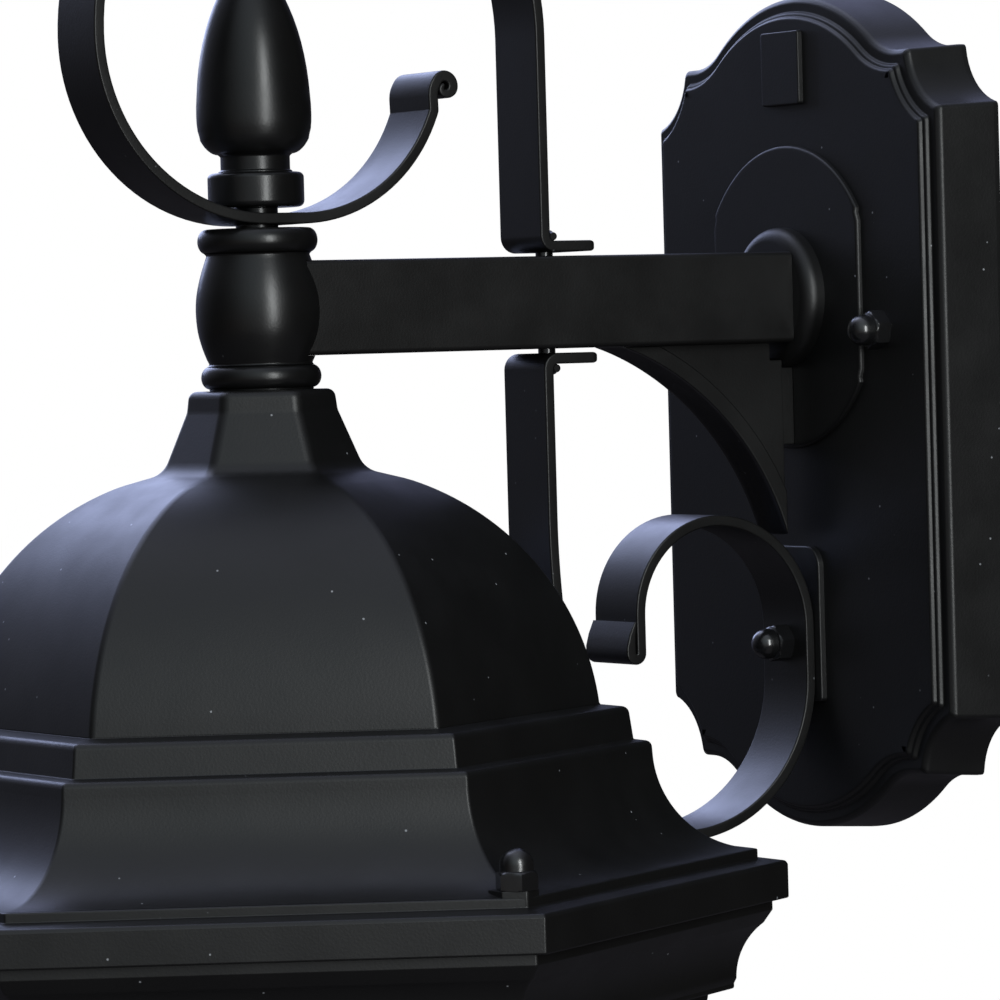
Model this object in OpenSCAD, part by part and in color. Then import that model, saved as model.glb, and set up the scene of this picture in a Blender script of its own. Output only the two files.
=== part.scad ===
// Hanging wall lantern: a hexagonal lantern hung on a square arm, with two flat-bar scrolls.
// Millimetres. +Z is up, the wall is the plane y = 0 and the lantern stands out towards -Y.
// The origin is on the wall, midway between the two screw slots of the mounting strap.

/* [Wall plate] */
// Width of the wall plate at the wall
plate_w = 142.6; // [136:0.2:150]
// Height of the wall plate at the wall
plate_h = 238; // [225:1:250]
// Depth of the wall plate from the wall to its rim
plate_depth = 19.8; // [18:0.2:22]
// Height of the raised panel above the rim
panel_rise = 2.5; // [2:0.1:3.5]
// Wall thickness of the plate casting
plate_wall = 3; // [2.5:0.1:3.5]
// Radius of the arch at the plate's top and bottom
arch_r = 63; // [60:0.5:66]
// Radius of the hollow that runs from the arch to the shoulder
ogee_r = 20; // [18:0.5:22]
// Radius of the hollow corner below the shoulder
cove_r = 18; // [16:0.5:20]
// Radius of the plate's outer corners
shoulder_r = 1.4; // [0.8:0.1:2.4]
// How far the plate's centre lies below the arm's centre
plate_drop = 33; // [30:0.5:36]
// Radius of the round pad about the arm
pad_r = 43; // [40:0.5:46]
// Width of the round pad between its cut sides
pad_w = 72; // [66:0.5:76]
// Height of the round pad above the panel
pad_rise = 1.5; // [1:0.1:2.5]
// Radius of the boss that carries the arm
boss_r = 19.7; // [18.5:0.1:21]
// Length of the boss in front of the panel
boss_len = 7.5; // [6:0.1:9]
// Width of the small raised field near the top
field_w = 18.8; // [16:0.2:22]
// Height of the small raised field near the top
field_h = 21; // [18:0.2:24]
// Width of the pad behind the lower scroll
scroll_pad_w = 27; // [24:0.2:30]
// Height of the pad behind the lower scroll
scroll_pad_h = 44; // [40:0.5:50]
// Height of the scroll's pad above the panel
scroll_pad_rise = 1.8; // [1.2:0.1:2.6]
// How far the middle of the scroll's pad lies above the scroll's stud
scroll_pad_up = 5.5; // [3:0.5:7]
// How far the middle of the small raised field lies above the arm's centre
field_up = 64.8; // [62:0.2:67]

/* [Wall mounting] */
// Distance between the two studs that hold the plate
stud_spacing = 88.9; // [84:0.1:94]
// Distance between the two screw slots of the strap
slot_spacing = 69.85; // [66:0.05:72]
// Length of each screw slot, end to end
slot_len = 9; // [8:0.1:11]
// Radius of the ends of each screw slot
slot_r = 2.4; // [2.2:0.1:2.8]
// Length of the mounting strap
strap_len = 104; // [101:0.5:110]
// Width of the mounting strap
strap_w = 16; // [14:0.5:20]
// Thickness of the mounting strap
strap_t = 2.6; // [2:0.1:3.2]
// Thread radius of the studs
stud_r = 2.4; // [2.1:0.1:2.7]
// Thread radius of the earth screw
earth_r = 2.4; // [2:0.1:2.7]

/* [Arm] */
// Height of the arm's centre above the origin
arm_z = 10; // [8:0.5:12]
// Outside width of the square arm
arm_w = 25.4; // [24:0.1:27]
// Wall of the square arm
arm_wall = 2; // [1.6:0.1:2.6]
// Radius of the arm's long edges
arm_edge = 1.2; // [0.8:0.1:2]
// Distance from the wall to the roof's rim
roof_gap = 74.46; // [70:0.1:80]
// Width of the gusset under the arm
gusset_w = 15; // [13:0.2:17]
// Radius of the gusset's hollow edge
gusset_r = 73.7; // [72:0.1:76]
// Height of the gusset
gusset_h = 54; // [50:0.5:57]

/* [Scrolls] */
// Width of the flat bar
bar_w = 21.8; // [20:0.2:24]
// Thickness of the flat bar
bar_t = 3; // [2.6:0.1:3.4]
// Distance from the wall to the bars' straight part
bar_back = 109.8; // [108.3:0.1:110.8]
// Length of the foot by which each bar is fixed to the arm
foot_len = 15; // [14:0.2:17]
// Gap between a foot and the arm
foot_gap = 1.2; // [1:0.1:1.6]
// Inside radius of the bend above the foot
bend_r = 1.5; // [1:0.1:2]
// Height of the upper loop's widest point above the arm's centre
loop_z = 73; // [70:0.5:77]
// Flat length of the upper loop's seat, on the outer side of the spindle
seat_flat_out = 2; // [1:0.1:3]
// Flat length of the upper loop's seat, on the wall side of the spindle
seat_flat_in = 8.5; // [7:0.1:10]
// Radius of the upper loop's rising end
loop_end_r = 44; // [42:0.2:46]
// Sweep of the upper loop's rising end
loop_end_sweep = 68; // [64:1:72]
// Straight length before each rolled end
tip_len = 9; // [8:0.2:10]
// Radius of the rolled ends, at the bar's middle
tip_r = 1.9; // [1.8:0.05:2.2]
// How far the lower loop's lowest point lies below the arm's centre
scroll_drop = 149.4; // [148.8:0.1:149.6]
// How far the scroll's stud lies below the arm's centre
scroll_stud_drop = 98; // [96:0.5:100]
// Radius of the lower scroll's inner curl next to the wall
curl_r = 31; // [29:0.2:33]
// Radius of the lower scroll's inner curl at its free end
curl_end_r = 25.5; // [24:0.2:27]

/* [Spindle] */
// Largest radius of the barrel
barrel_r = 16.6; // [16:0.1:17.5]
// Radius of the barrel at its ends
barrel_end_r = 13.8; // [13:0.1:14.4]
// Height of the barrel between its rings
barrel_h = 29.2; // [28.4:0.1:31]
// Height of each ring
ring_h = 7; // [6:0.1:8]
// Radius of each ring
ring_r = 16; // [15.5:0.1:17]
// Height of the small neck above the upper ring
barrel_neck_h = 0.9; // [0.7:0.1:1.5]
// Radius of the small necks that bear on the bar
neck_r = 8; // [7:0.1:9]
// Height of the finial's foot
finial_foot_h = 1.7; // [1.4:0.1:2.4]
// Radius of the finial's foot
finial_foot_r = 7; // [6:0.1:8]
// Height of the finial's collar
collar_h = 9.3; // [8:0.1:11]
// Radius of the finial's collar
collar_r = 13; // [12:0.1:14]
// Height of the finial's waist
waist_h = 5; // [4:0.1:6]
// Radius of the finial's waist
waist_r = 9.75; // [9:0.1:10.5]
// Height of the finial's bud
bud_h = 54; // [50:0.5:60]
// Largest radius of the finial's bud
bud_r = 15.4; // [14.5:0.1:16.5]
// Outside radius of the threaded tube on the spindle
nipple_r = 4.8; // [4.4:0.1:5.2]
// Bore radius of the threaded tube
nipple_bore_r = 3.2; // [2.8:0.1:3.6]

/* [Roof] */
// Corner radius of the roof's rim
roof_r = 137.8; // [136:0.2:139]
// Height of the roof's rim band
rim_h = 9.6; // [8.5:0.1:11]
// How far the rim's corners stand out from the small step above it
rim_out = 8.1; // [7:0.1:9]
// Height of the small step above the rim
step_h = 2.6; // [2:0.1:3.2]
// Radius of the roof's hollow flare
flare_r = 28; // [27:0.1:29]
// Straight height above the flare
flare_top_h = 2; // [1.5:0.1:3]
// How far the flare's top corners stand out from the upright band
ledge_w = 5; // [4:0.1:6]
// Height of the upright band
band_h = 10; // [9:0.1:11]
// How far the upright band's corners stand out from the dome's foot
band_w = 8.7; // [8:0.1:10]
// Height of the dome
dome_h = 64.8; // [63.8:0.1:66]
// Radius of the dome's bulge along its corners
dome_curve_r = 76.6; // [74:0.2:80]
// Height of the tapered collar on the dome
roof_collar_h = 22; // [21:0.2:24]
// Corner radius at the collar's top
roof_collar_top_r = 19.8; // [19:0.1:20.6]
// Corner radius at the collar's foot
roof_collar_foot_r = 27.3; // [26.4:0.1:28.2]
// Wall thickness of the roof casting
roof_wall = 3; // [2.6:0.1:3.4]
// Thickness of the roof casting under its collar
crown_t = 5; // [4:0.1:6]
// How far the roof's studs stand in from the rim's corners
stud_in = 13.2; // [12.8:0.1:13.8]

/* [Cage] */
// How far the cage's top corners lie in from the rim's corners
cage_in = 4.4; // [3.4:0.1:5.8]
// Height of the cage's top moulding
cage_mould_h = 24; // [22.5:0.2:26]
// Radius of the moulding's hollow
cavetto_r = 18; // [17:0.2:19]
// Depth of the moulding's hollow from the cage's corner
mould_depth = 10.2; // [9.6:0.1:10.8]
// How far the posts' top corners lie in from the foot of the moulding
post_in = 6.7; // [5.5:0.1:8.5]
// Corner radius of the posts at the foot of the cage
post_foot_r = 84; // [80:0.5:88]
// Height of the posts below the moulding
post_h = 196; // [180:1:215]
// Wall of the cage frame
cage_wall = 4; // [3.5:0.1:4.5]
// Width of the frame beside each corner
post_w = 9; // [8:0.2:11]
// Height of the frame above each window
rail_top_h = 9; // [8:0.2:11]
// Height of the frame below each window
rail_foot_h = 13; // [11:0.2:16]
// Thickness of the glass
glass_t = 3; // [2.6:0.1:3.4]
// How far the glass reaches behind the frame
glass_lap = 5; // [4:0.2:6]
// Width of the ledge inside the cage's foot
foot_ledge_w = 4.5; // [4:0.1:5.5]

/* [Cage foot] */
// Height of the upper step of the bottom pan
pan_h = 8; // [7:0.2:10]
// Height of the lower step of the bottom pan
pan_step_h = 6; // [5:0.2:8]
// How far the bottom pan's corners stand out from the posts
pan_out = 4; // [3:0.5:8]
// How far the lower step's corners lie in from the pan's corners
pan_step_in = 28; // [22:0.5:36]
// Height of the bottom finial
drop_h = 34; // [28:0.5:40]
// Largest radius of the bottom finial
drop_r = 12; // [10:0.2:14]

/* [Lamp] */
// Outside radius of the cup that holds the socket
cup_r = 23; // [21.5:0.5:25]
// Height of the cup
cup_h = 26; // [22:0.5:30]
// Outside radius of the porcelain socket
socket_r = 19; // [18:0.2:19.6]
// Length of the porcelain socket
socket_h = 46; // [42:0.5:50]
// Radius of the bulb's screw shell
shell_r = 13; // [12.6:0.1:13.4]
// Largest radius of the bulb
bulb_r = 30; // [28:0.5:33]
// Length of the bulb below its screw shell
bulb_h = 84; // [78:1:92]
// Length of the bulb's screw shell
screw_h = 29; // [28:0.5:31]
// Height of porcelain above the socket's well
socket_crown_h = 14; // [12:0.5:16]

/* [Hidden] */

// Clearance between a thread and its hole
thread_gap = 0.05;
// Clearance between a piece and the face beside it, where they aren't clamped
face_gap = 0.1;
// Overrun of a cut past the face that it opens
cut = 1;
// Number of sides of a hexagon
hex_sides = 6;
// Segments of a short arc and of a long one
short_arc = 5;
long_arc = 16;
// Smoothness of the round pieces
$fn = 64;

// Height lost where a nearly level ledge falls outwards
edge_fall = 0.7;

// Corner radii of the roof and the cage, each measured from its neighbour
flare_over = 0.5;
mould_lip_h = 3;
mould_step = 1.4;
step_r = roof_r - rim_out;
ledge_r = step_r + flare_over - flare_r;
band_r = ledge_r - ledge_w;
dome_r = band_r - band_w;
roof_stud_at = roof_r - stud_in;
cage_top_r = roof_r - cage_in;
post_top_r = cage_top_r - mould_depth - mould_step / 2 - post_in;
pan_r = post_foot_r + pan_out;
pan_step_r = pan_r - pan_step_in;

// Places measured from the arm's centre, with u as the distance from the spindle to the wall side
reach = roof_r * cos(180 / hex_sides) + roof_gap;
bar_reach = reach - bar_back;
panel_u = reach - plate_depth - panel_rise;
pad_u = panel_u - pad_rise;
boss_u = panel_u - boss_len;
seat_z = barrel_h / 2 + ring_h + barrel_neck_h;
roof_top = -barrel_h / 2 - ring_h;
dome_top = roof_top - roof_collar_h;
band_top = dome_top - dome_h;
flare_top = band_top - band_h;
flare_foot = flare_top - flare_top_h - flare_r;
rim_top = flare_foot - step_h - edge_fall;
roof_foot = rim_top - rim_h - edge_fall;
mould_foot = roof_foot - cage_mould_h;
cage_foot = mould_foot - post_h;
pan_foot = cage_foot - pan_h;
step_foot = pan_foot - pan_step_h;
plate_z = arm_z - plate_drop;

// Points along an arc about c, from angle a to angle b
function arc(c, r, a, b, n) =
    [for (i = [0:n]) c + r * [cos(a + (b - a) * i / n), sin(a + (b - a) * i / n)]];

// The same list from its end to its start
function back(list) = [for (i = [len(list) - 1:-1:0]) list[i]];

// The same list without its first point
function tail(list) = [for (i = [1:len(list) - 1]) list[i]];

// A list of points mirrored across the second axis
function across(list) = [for (p = list) [-p[0], p[1]]];

// A list of points mirrored across the first axis
function over(list) = [for (p = list) [p[0], -p[1]]];

// Direction from one point to another, as an angle
function aim(p, q) = atan2(q[1] - p[1], q[0] - p[0]);

// Centre of the arc of radius r through p and q that bulges away from it
function arc_centre(p, q, r) =
    let (m = (p + q) / 2, h = norm(q - p) / 2, a = aim(p, q) - 90)
    m + sqrt(r * r - h * h) * [cos(a), sin(a)];

// Arc of radius r from p to q, clockwise about its centre
function arc_to(p, q, r, n) =
    let (c = arc_centre(p, q, r), a = aim(c, p), b = aim(c, q))
    arc(c, r, a, b > a ? b - 360 : b, n);

// Places a drawing of the u-z plane across the arm, w wide
module across_arm(w) {
    translate([0, -reach, arm_z])
        rotate([90, 0, 90])
            linear_extrude(w, center = true)
                children();
}

// Places what stands on the spindle's axis
module on_spindle(z = 0) {
    translate([0, -reach, arm_z + z])
        children();
}

// Turns a half outline, given as radius and height, about the spindle
module turned(points) {
    on_spindle()
        rotate_extrude()
            polygon(points);
}

// A solid with six flat sides: corner radii and heights given from the top down
module six_sided(points) {
    flat_share = cos(180 / hex_sides);
    half = [for (p = points) [p[0] * flat_share, p[1]]];
    widest = max([for (p = points) p[0]]);
    intersection_for (turn = [0, 60, 120])
        rotate([0, 0, turn])
            rotate([90, 0, 90])
                linear_extrude(4 * widest, center = true)
                    polygon(concat(half, back(across(half))));
}

// Turns a child so that its +Z points away from the wall
module towards_room() {
    rotate([90, 0, 0])
        children();
}

// Cap nut

nut_flats = 9.6;
nut_hex_h = 4.6;
nut_h = 10.5;
nut_wall_top = 2.4;
nut_rim = 0.5;
nut_thread = nut_h - nut_wall_top - face_gap;
nut_corner_r = nut_flats / 2 / cos(180 / hex_sides);

// Cap nut with its flat foot at the origin and its dome up
module cap_nut() {
    dome_r = nut_flats / 2 - nut_rim;
    difference() {
        union() {
            cylinder(h = nut_hex_h, r = nut_corner_r, $fn = hex_sides);
            translate([0, 0, nut_hex_h])
                cylinder(h = nut_h - nut_hex_h - dome_r, r = dome_r);
            translate([0, 0, nut_h - dome_r])
                sphere(r = dome_r);
        }
        translate([0, 0, -cut])
            cylinder(h = nut_h - nut_wall_top + cut, r = stud_r + thread_gap);
    }
}

// Wall plate

plate_side_in = 0.6;
plate_rim_in = 1.8;
panel_in = 5.6;
panel_face_in = 7.4;
plate_edge_h = 1.4;
plate_foot_h = 2;
arch_sweep = 38;
step_rise_share = 0.55;
cove_out_share = 0.0522;
cove_up = 0.9;

// A quarter of the plate's outline from the top centre to the side, moved inwards by d
function plate_quarter(d) = let (
    arch_c = [0, plate_h / 2 - arch_r],
    ogee_c = arch_c + (arch_r + ogee_r) * [sin(arch_sweep), cos(arch_sweep)],
    shelf = ogee_c[1] - ogee_r - d,
    cove_c = [plate_w / 2 * (1 + cove_out_share), ogee_c[1] - ogee_r + cove_up],
    side = plate_w / 2 - d,
    r = cove_r + d,
    top = shelf - shoulder_r,
    out = side - shoulder_r,
    start = [cove_c[0] - sqrt(r * r - pow(top - cove_c[1], 2)), top],
    end = [out, cove_c[1] - sqrt(r * r - pow(out - cove_c[0], 2))])
    concat(arc(arch_c, arch_r - d, 90, 90 - arch_sweep, short_arc),
        tail(arc(ogee_c, ogee_r + d, 270 - arch_sweep, 270, short_arc)),
        arc(start - [shoulder_r, 0], shoulder_r, 90, 0, short_arc),
        tail(arc(cove_c, r, aim(cove_c, start) + (aim(cove_c, start) < 0 ? 360 : 0),
            aim(cove_c, end) + 360, short_arc)),
        tail(arc(end - [0, shoulder_r], shoulder_r, 90, 0, short_arc)));

// The whole outline, clockwise from the top centre
function plate_outline(d) =
    let (q = plate_quarter(d), n = len(q) - 1, bottom = over(q), left = across(q))
    concat(q, back([for (i = [1:n]) bottom[i]]), [for (i = [0:n]) -q[i]],
        back([for (i = [1:n]) left[i]]));

// Each step of the plate: how far in its outline lies, and how far its face is from the wall
plate_steps = [[0, plate_foot_h], [plate_side_in, plate_depth - plate_edge_h],
    [plate_rim_in, plate_depth], [panel_in, plate_depth + panel_rise * step_rise_share],
    [panel_face_in, plate_depth + panel_rise]];

// The plate's sides, its edge moulding and its raised panel
module plate_body() {
    for (k = [0:len(plate_steps) - 1])
        let (from = k > 0 ? cut : 0)
            translate([0, -from, plate_z])
                towards_room()
                    linear_extrude(plate_steps[k][1] - from)
                        polygon(plate_outline(plate_steps[k][0]));
}

// A flat pad on the panel, drawn in x and z about the arm's centre
module panel_pad(rise) {
    translate([0, -plate_depth - panel_rise + cut, arm_z])
        rotate([90, 0, 0])
            linear_extrude(rise + cut)
                children();
}

scroll_pad_corner = 6;
field_rise = 1.5;
stud_hole_gap = 0.2;

module wall_plate() {
    color([0.09, 0.09, 0.1])
        difference() {
            union() {
                plate_body();
                panel_pad(pad_rise)
                    intersection() {
                        circle(r = pad_r);
                        square([pad_w, 3 * pad_r], center = true);
                    }
                panel_pad(boss_len)
                    circle(r = boss_r);
                panel_pad(field_rise)
                    translate([0, field_up])
                        square([field_w, field_h], center = true);
                panel_pad(scroll_pad_rise)
                    translate([0, scroll_pad_up - scroll_stud_drop])
                        scroll_pad_outline();
            }
            translate([0, cut, plate_z])
                towards_room()
                    linear_extrude(plate_depth - plate_wall + cut)
                        polygon(plate_outline(plate_side_in + plate_wall));
            for (side = [-1, 1])
                translate([side * stud_spacing / 2, 0, 0])
                    towards_room()
                        cylinder(h = reach, r = stud_r + stud_hole_gap);
            translate([0, 0, arm_z - scroll_stud_drop])
                towards_room()
                    cylinder(h = reach, r = stud_r + thread_gap);
            translate([0, 0, arm_z])
                towards_room()
                    cylinder(h = reach, r = nipple_r);
        }
}

// Pad with a round-cornered top
module scroll_pad_outline() {
    w = scroll_pad_w / 2 - scroll_pad_corner;
    top = scroll_pad_h / 2 - scroll_pad_corner;
    translate([0, -scroll_pad_corner / 2])
        square([scroll_pad_w, scroll_pad_h - scroll_pad_corner], center = true);
    translate([0, top])
        square([2 * w, 2 * scroll_pad_corner], center = true);
    for (side = [-1, 1])
        translate([side * w, top])
            circle(r = scroll_pad_corner);
}

earth_at = 14;
earth_head_r = 4.2;
earth_head_h = 2;

module mounting_strap() {
    color([0.72, 0.73, 0.75])
        difference() {
            towards_room()
                linear_extrude(strap_t)
                    square([strap_len, strap_w], center = true);
            for (side = [-1, 1]) {
                translate([side * stud_spacing / 2, cut, 0])
                    towards_room()
                        cylinder(h = strap_t + 2 * cut, r = stud_r + thread_gap);
                translate([side * slot_spacing / 2, cut, 0])
                    strap_slot();
            }
            translate([earth_at, cut, 0])
                towards_room()
                    cylinder(h = strap_t + 2 * cut, r = earth_r + thread_gap);
        }
}

module strap_slot() {
    straight = slot_len - 2 * slot_r;
    towards_room()
        linear_extrude(strap_t + 2 * cut) {
            square([straight, 2 * slot_r], center = true);
            for (side = [-1, 1])
                translate([side * straight / 2, 0])
                    circle(r = slot_r);
        }
}

module plate_studs() {
    color([0.78, 0.7, 0.45])
        for (side = [-1, 1])
            translate([side * stud_spacing / 2, 0, 0])
                towards_room()
                    cylinder(h = plate_depth + panel_rise + nut_thread, r = stud_r);
}

module plate_cap_nuts() {
    color([0.1, 0.1, 0.11])
        for (side = [-1, 1])
            translate([side * stud_spacing / 2, -plate_depth - panel_rise, 0])
                towards_room()
                    cap_nut();
}

module earth_screw() {
    color([0.2, 0.5, 0.25])
        translate([earth_at, -strap_t, 0])
            towards_room() {
                cylinder(h = earth_head_h, r = earth_head_r);
                translate([0, 0, -strap_t])
                    cylinder(h = strap_t + cut, r = earth_r);
            }
}

// Arm

// The arm ends in a square socket in the barrel, this far from the spindle's tube
socket_web = 3;
socket_u = nipple_r + socket_web;

// Outline of a square tube with round edges
module round_square(w, r) {
    square([w, w - 2 * r], center = true);
    square([w - 2 * r, w], center = true);
    for (a = [-1, 1])
        for (b = [-1, 1])
            translate([a * (w / 2 - r), b * (w / 2 - r)])
                circle(r = r);
}

module arm_tube() {
    color([0.09, 0.09, 0.1])
        difference() {
            translate([0, socket_u - reach, arm_z])
                rotate([-90, 0, 0])
                    linear_extrude(boss_u - socket_u)
                        difference() {
                            round_square(arm_w, arm_edge);
                            square(arm_w - 2 * arm_wall, center = true);
                        }
            foot_holes();
        }
}

rivet_r = 2.4;
rivet_in = 3;
rivet_share = 0.4;
rivet_u = bar_reach + foot_len * rivet_share;

// Holes for the rivets through both feet and the arm's walls
module foot_holes() {
    on_spindle()
        translate([0, rivet_u, 0])
            cylinder(h = 2 * arm_w, r = rivet_r + thread_gap, center = true);
}

module foot_rivets() {
    color([0.1, 0.1, 0.11])
        for (side = [-1, 1])
            on_spindle(side * (arm_w / 2 + (foot_gap + bar_t - rivet_in) / 2))
                translate([0, rivet_u, 0])
                    cylinder(h = foot_gap + bar_t + rivet_in, r = rivet_r, center = true);
}

gusset_notch_w = 4;
gusset_notch_h = 5;
gusset_lip = 1;
tongue_w = 6;
tongue_h = 22;

// The gusset in the u-z plane: flat top, upright back and hollow lower edge
module gusset_outline() {
    top = -arm_w / 2;
    foot = [boss_u, top - gusset_h];
    start = [boss_u - gusset_h - gusset_lip, top];
    polygon(concat([[boss_u - gusset_notch_w, top], [boss_u - gusset_notch_w, top - gusset_notch_h],
        [boss_u, top - gusset_notch_h]], back(arc_to(start, foot, gusset_r, long_arc))));
}

module arm_gusset() {
    color([0.09, 0.09, 0.1]) {
        across_arm(gusset_w)
            gusset_outline();
        across_arm(tongue_w)
            polygon([[boss_u - cut, -boss_r - face_gap], [pad_u, -boss_r - face_gap],
                [pad_u, -boss_r - tongue_h], [boss_u - cut, -boss_r - tongue_h]]);
    }
}

// Scrolls

// One side of a bar that follows the arcs, each given as centre, radius, start, end and count
function bar_side(arcs, off) = [for (a = arcs)
    each arc(a[0], a[1] - sign(a[3] - a[2]) * off, a[2], a[3], a[4])];

// A flat bar seen from its edge, t thick: it begins level at start and follows the arcs
module bent_bar(start, arcs, t) {
    polygon(concat([start + [0, t / 2]], bar_side(arcs, -t / 2), back(bar_side(arcs, t / 2)),
        [start - [0, t / 2]]));
}

bend_mid = bend_r + bar_t / 2;
foot_z = arm_w / 2 + foot_gap + bar_t / 2;
loop_low = seat_z + bar_t / 2;
loop_r = loop_z - loop_low;
loop_top_r = (bar_reach + seat_flat_out + loop_r) / 2;
loop_end_c = [seat_flat_in, loop_low + loop_end_r];
loop_end_a = 270 + loop_end_sweep;
tip_turn = 240;

// Centre of the rolled tip that follows an arc's end at angle a, rolled to the right
function tip_centre(c, r, a, len) =
    c + (r + tip_r) * [cos(a), sin(a)] + len * [-sin(a), cos(a)];

upper_arcs = [
    [[bar_reach + bend_mid, foot_z + bend_mid], bend_mid, 270, 180, short_arc],
    [[bar_reach - loop_top_r, loop_z], loop_top_r, 0, 180, 2 * long_arc],
    [[-seat_flat_out, loop_z], loop_r, 180, 270, long_arc],
    [loop_end_c, loop_end_r, 270, loop_end_a, long_arc],
    [tip_centre(loop_end_c, loop_end_r, loop_end_a, tip_len), tip_r,
        loop_end_a - 180, loop_end_a - 180 - tip_turn, long_arc]];

module upper_scroll() {
    color([0.1, 0.1, 0.11])
        difference() {
            across_arm(bar_w)
                bent_bar([bar_reach - bar_t / 2 + foot_len, foot_z], upper_arcs, bar_t);
            foot_holes();
            on_spindle(seat_z - cut)
                cylinder(h = bar_t + 2 * cut, r = nipple_r + thread_gap);
            on_spindle(seat_z + bar_t)
                cylinder(h = bar_t, r = finial_foot_r + thread_gap);
        }
}

// The lower scroll runs down past the roof, under it and up to its pad on the plate
scroll_u = panel_u - scroll_pad_rise - bar_t / 2;
scroll_span = scroll_u - bar_reach;
near_share = 0.5;
far_share = 0.42;
lean = 14;
near_r = scroll_span * near_share;
far_r = scroll_span * far_share;
low_u = scroll_u - near_r;
lean_r = (low_u - far_r * cos(lean) - bar_reach) / (1 - cos(lean));
far_z = -scroll_drop + far_r;
lean_z = far_z - far_r * sin(lean) + lean_r * sin(lean);
curl_up = 5;
curl_z = -scroll_stud_drop + curl_up;
curl_c = [scroll_u - curl_r, curl_z];
curl_end_c = [curl_c[0], curl_z + curl_r - curl_end_r];

lower_arcs = [
    [[bar_reach + bend_mid, -foot_z - bend_mid], bend_mid, 90, 180, short_arc],
    [[bar_reach + lean_r, lean_z], lean_r, 180, 180 + lean, short_arc],
    [[low_u, far_z], far_r, 180 + lean, 270, long_arc],
    [[low_u, -scroll_drop + near_r], near_r, 270, 360, long_arc],
    [curl_c, curl_r, 0, 90, long_arc],
    [curl_end_c, curl_end_r, 90, 180, long_arc],
    [tip_centre(curl_end_c, curl_end_r, 180, tip_len), tip_r, 0, -tip_turn, long_arc]];

module lower_scroll() {
    color([0.1, 0.1, 0.11])
        difference() {
            across_arm(bar_w)
                bent_bar([bar_reach - bar_t / 2 + foot_len, -foot_z], lower_arcs, bar_t);
            foot_holes();
            translate([0, -plate_depth, arm_z - scroll_stud_drop])
                towards_room()
                    cylinder(h = panel_rise + scroll_pad_rise + bar_t + cut,
                        r = stud_r + thread_gap);
        }
}

module scroll_stud() {
    start = plate_depth - plate_wall;
    color([0.1, 0.1, 0.11])
        translate([0, -start, arm_z - scroll_stud_drop])
            towards_room()
                cylinder(h = reach - scroll_u + bar_t / 2 - start + nut_thread, r = stud_r);
}

module scroll_cap_nut() {
    color([0.1, 0.1, 0.11])
        translate([0, scroll_u - bar_t / 2 - reach, arm_z - scroll_stud_drop])
            towards_room()
                cap_nut();
}

// Spindle

// Half outline of one ring, h high from z up, as a rounded bead
function bead(r, z, h, n) = arc([r - h / 2, z + h / 2], h / 2, -90, 90, n);

tube_in_finial = 30;
collar_edge_share = 0.2;
bud_shares = [[0, 0.91], [0.055, 0.97], [0.17, 1], [0.29, 0.985], [0.42, 0.945], [0.55, 0.86],
    [0.67, 0.735], [0.78, 0.575], [0.87, 0.405], [0.94, 0.235], [0.98, 0.11]];

module finial() {
    foot = seat_z + bar_t;
    collar = foot + finial_foot_h;
    waist = collar + collar_h;
    bud = waist + waist_h;
    edge = collar_h * collar_edge_share;
    color([0.08, 0.08, 0.09])
        difference() {
            turned(concat([[0, foot], [finial_foot_r, foot], [finial_foot_r, collar]],
                arc([collar_r - edge, collar + edge], edge, -90, 0, short_arc),
                arc([collar_r - edge, waist - edge], edge, 0, 90, short_arc),
                [[waist_r, waist], [waist_r, bud]],
                [for (p = bud_shares) [bud_r * p[1], bud + bud_h * p[0]]],
                [[0, bud + bud_h]]));
            on_spindle(foot - cut)
                cylinder(h = tube_in_finial + cut, r = nipple_r + thread_gap);
        }
}

barrel_shares = [0, 0.37, 0.66, 0.87, 0.97, 1, 0.95, 0.8, 0.58, 0.3, 0];

module spindle_barrel() {
    low = -barrel_h / 2;
    high = barrel_h / 2;
    steps = len(barrel_shares) - 1;
    color([0.08, 0.08, 0.09])
        difference() {
            turned(concat([[0, low - ring_h], [ring_r - ring_h / 2, low - ring_h]],
                bead(ring_r, low - ring_h, ring_h, 2 * short_arc),
                [for (i = [0:steps]) [barrel_end_r + (barrel_r - barrel_end_r) * barrel_shares[i],
                    low + barrel_h * i / steps]],
                bead(ring_r, high, ring_h, 2 * short_arc),
                [[neck_r, high + ring_h], [neck_r, seat_z], [0, seat_z]]));
            on_spindle(low - ring_h - cut)
                cylinder(h = barrel_h + 3 * ring_h, r = nipple_r + thread_gap);
            translate([0, socket_u - reach + barrel_r, arm_z])
                cube([arm_w + 2 * face_gap, 2 * barrel_r, arm_w + 2 * face_gap], center = true);
        }
}

tube_top = seat_z + bar_t + tube_in_finial - face_gap;
cup_below = 38;
tube_foot = dome_top - cup_below;

module threaded_tube() {
    color([0.75, 0.72, 0.6])
        on_spindle(tube_foot)
            difference() {
                cylinder(h = tube_top - tube_foot, r = nipple_r);
                translate([0, 0, -cut])
                    cylinder(h = tube_top - tube_foot + 2 * cut, r = nipple_bore_r);
            }
}

// Roof

inner_top = dome_top - crown_t;
washer_t = 1.5;
washer_r = 10;
lock_nut_h = 5;
lock_nut_r = 9;

module lock_washer() {
    color([0.7, 0.7, 0.72])
        on_spindle(inner_top - washer_t)
            difference() {
                cylinder(h = washer_t, r = washer_r);
                translate([0, 0, -cut])
                    cylinder(h = washer_t + 2 * cut, r = nipple_r + thread_gap);
            }
}

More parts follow.
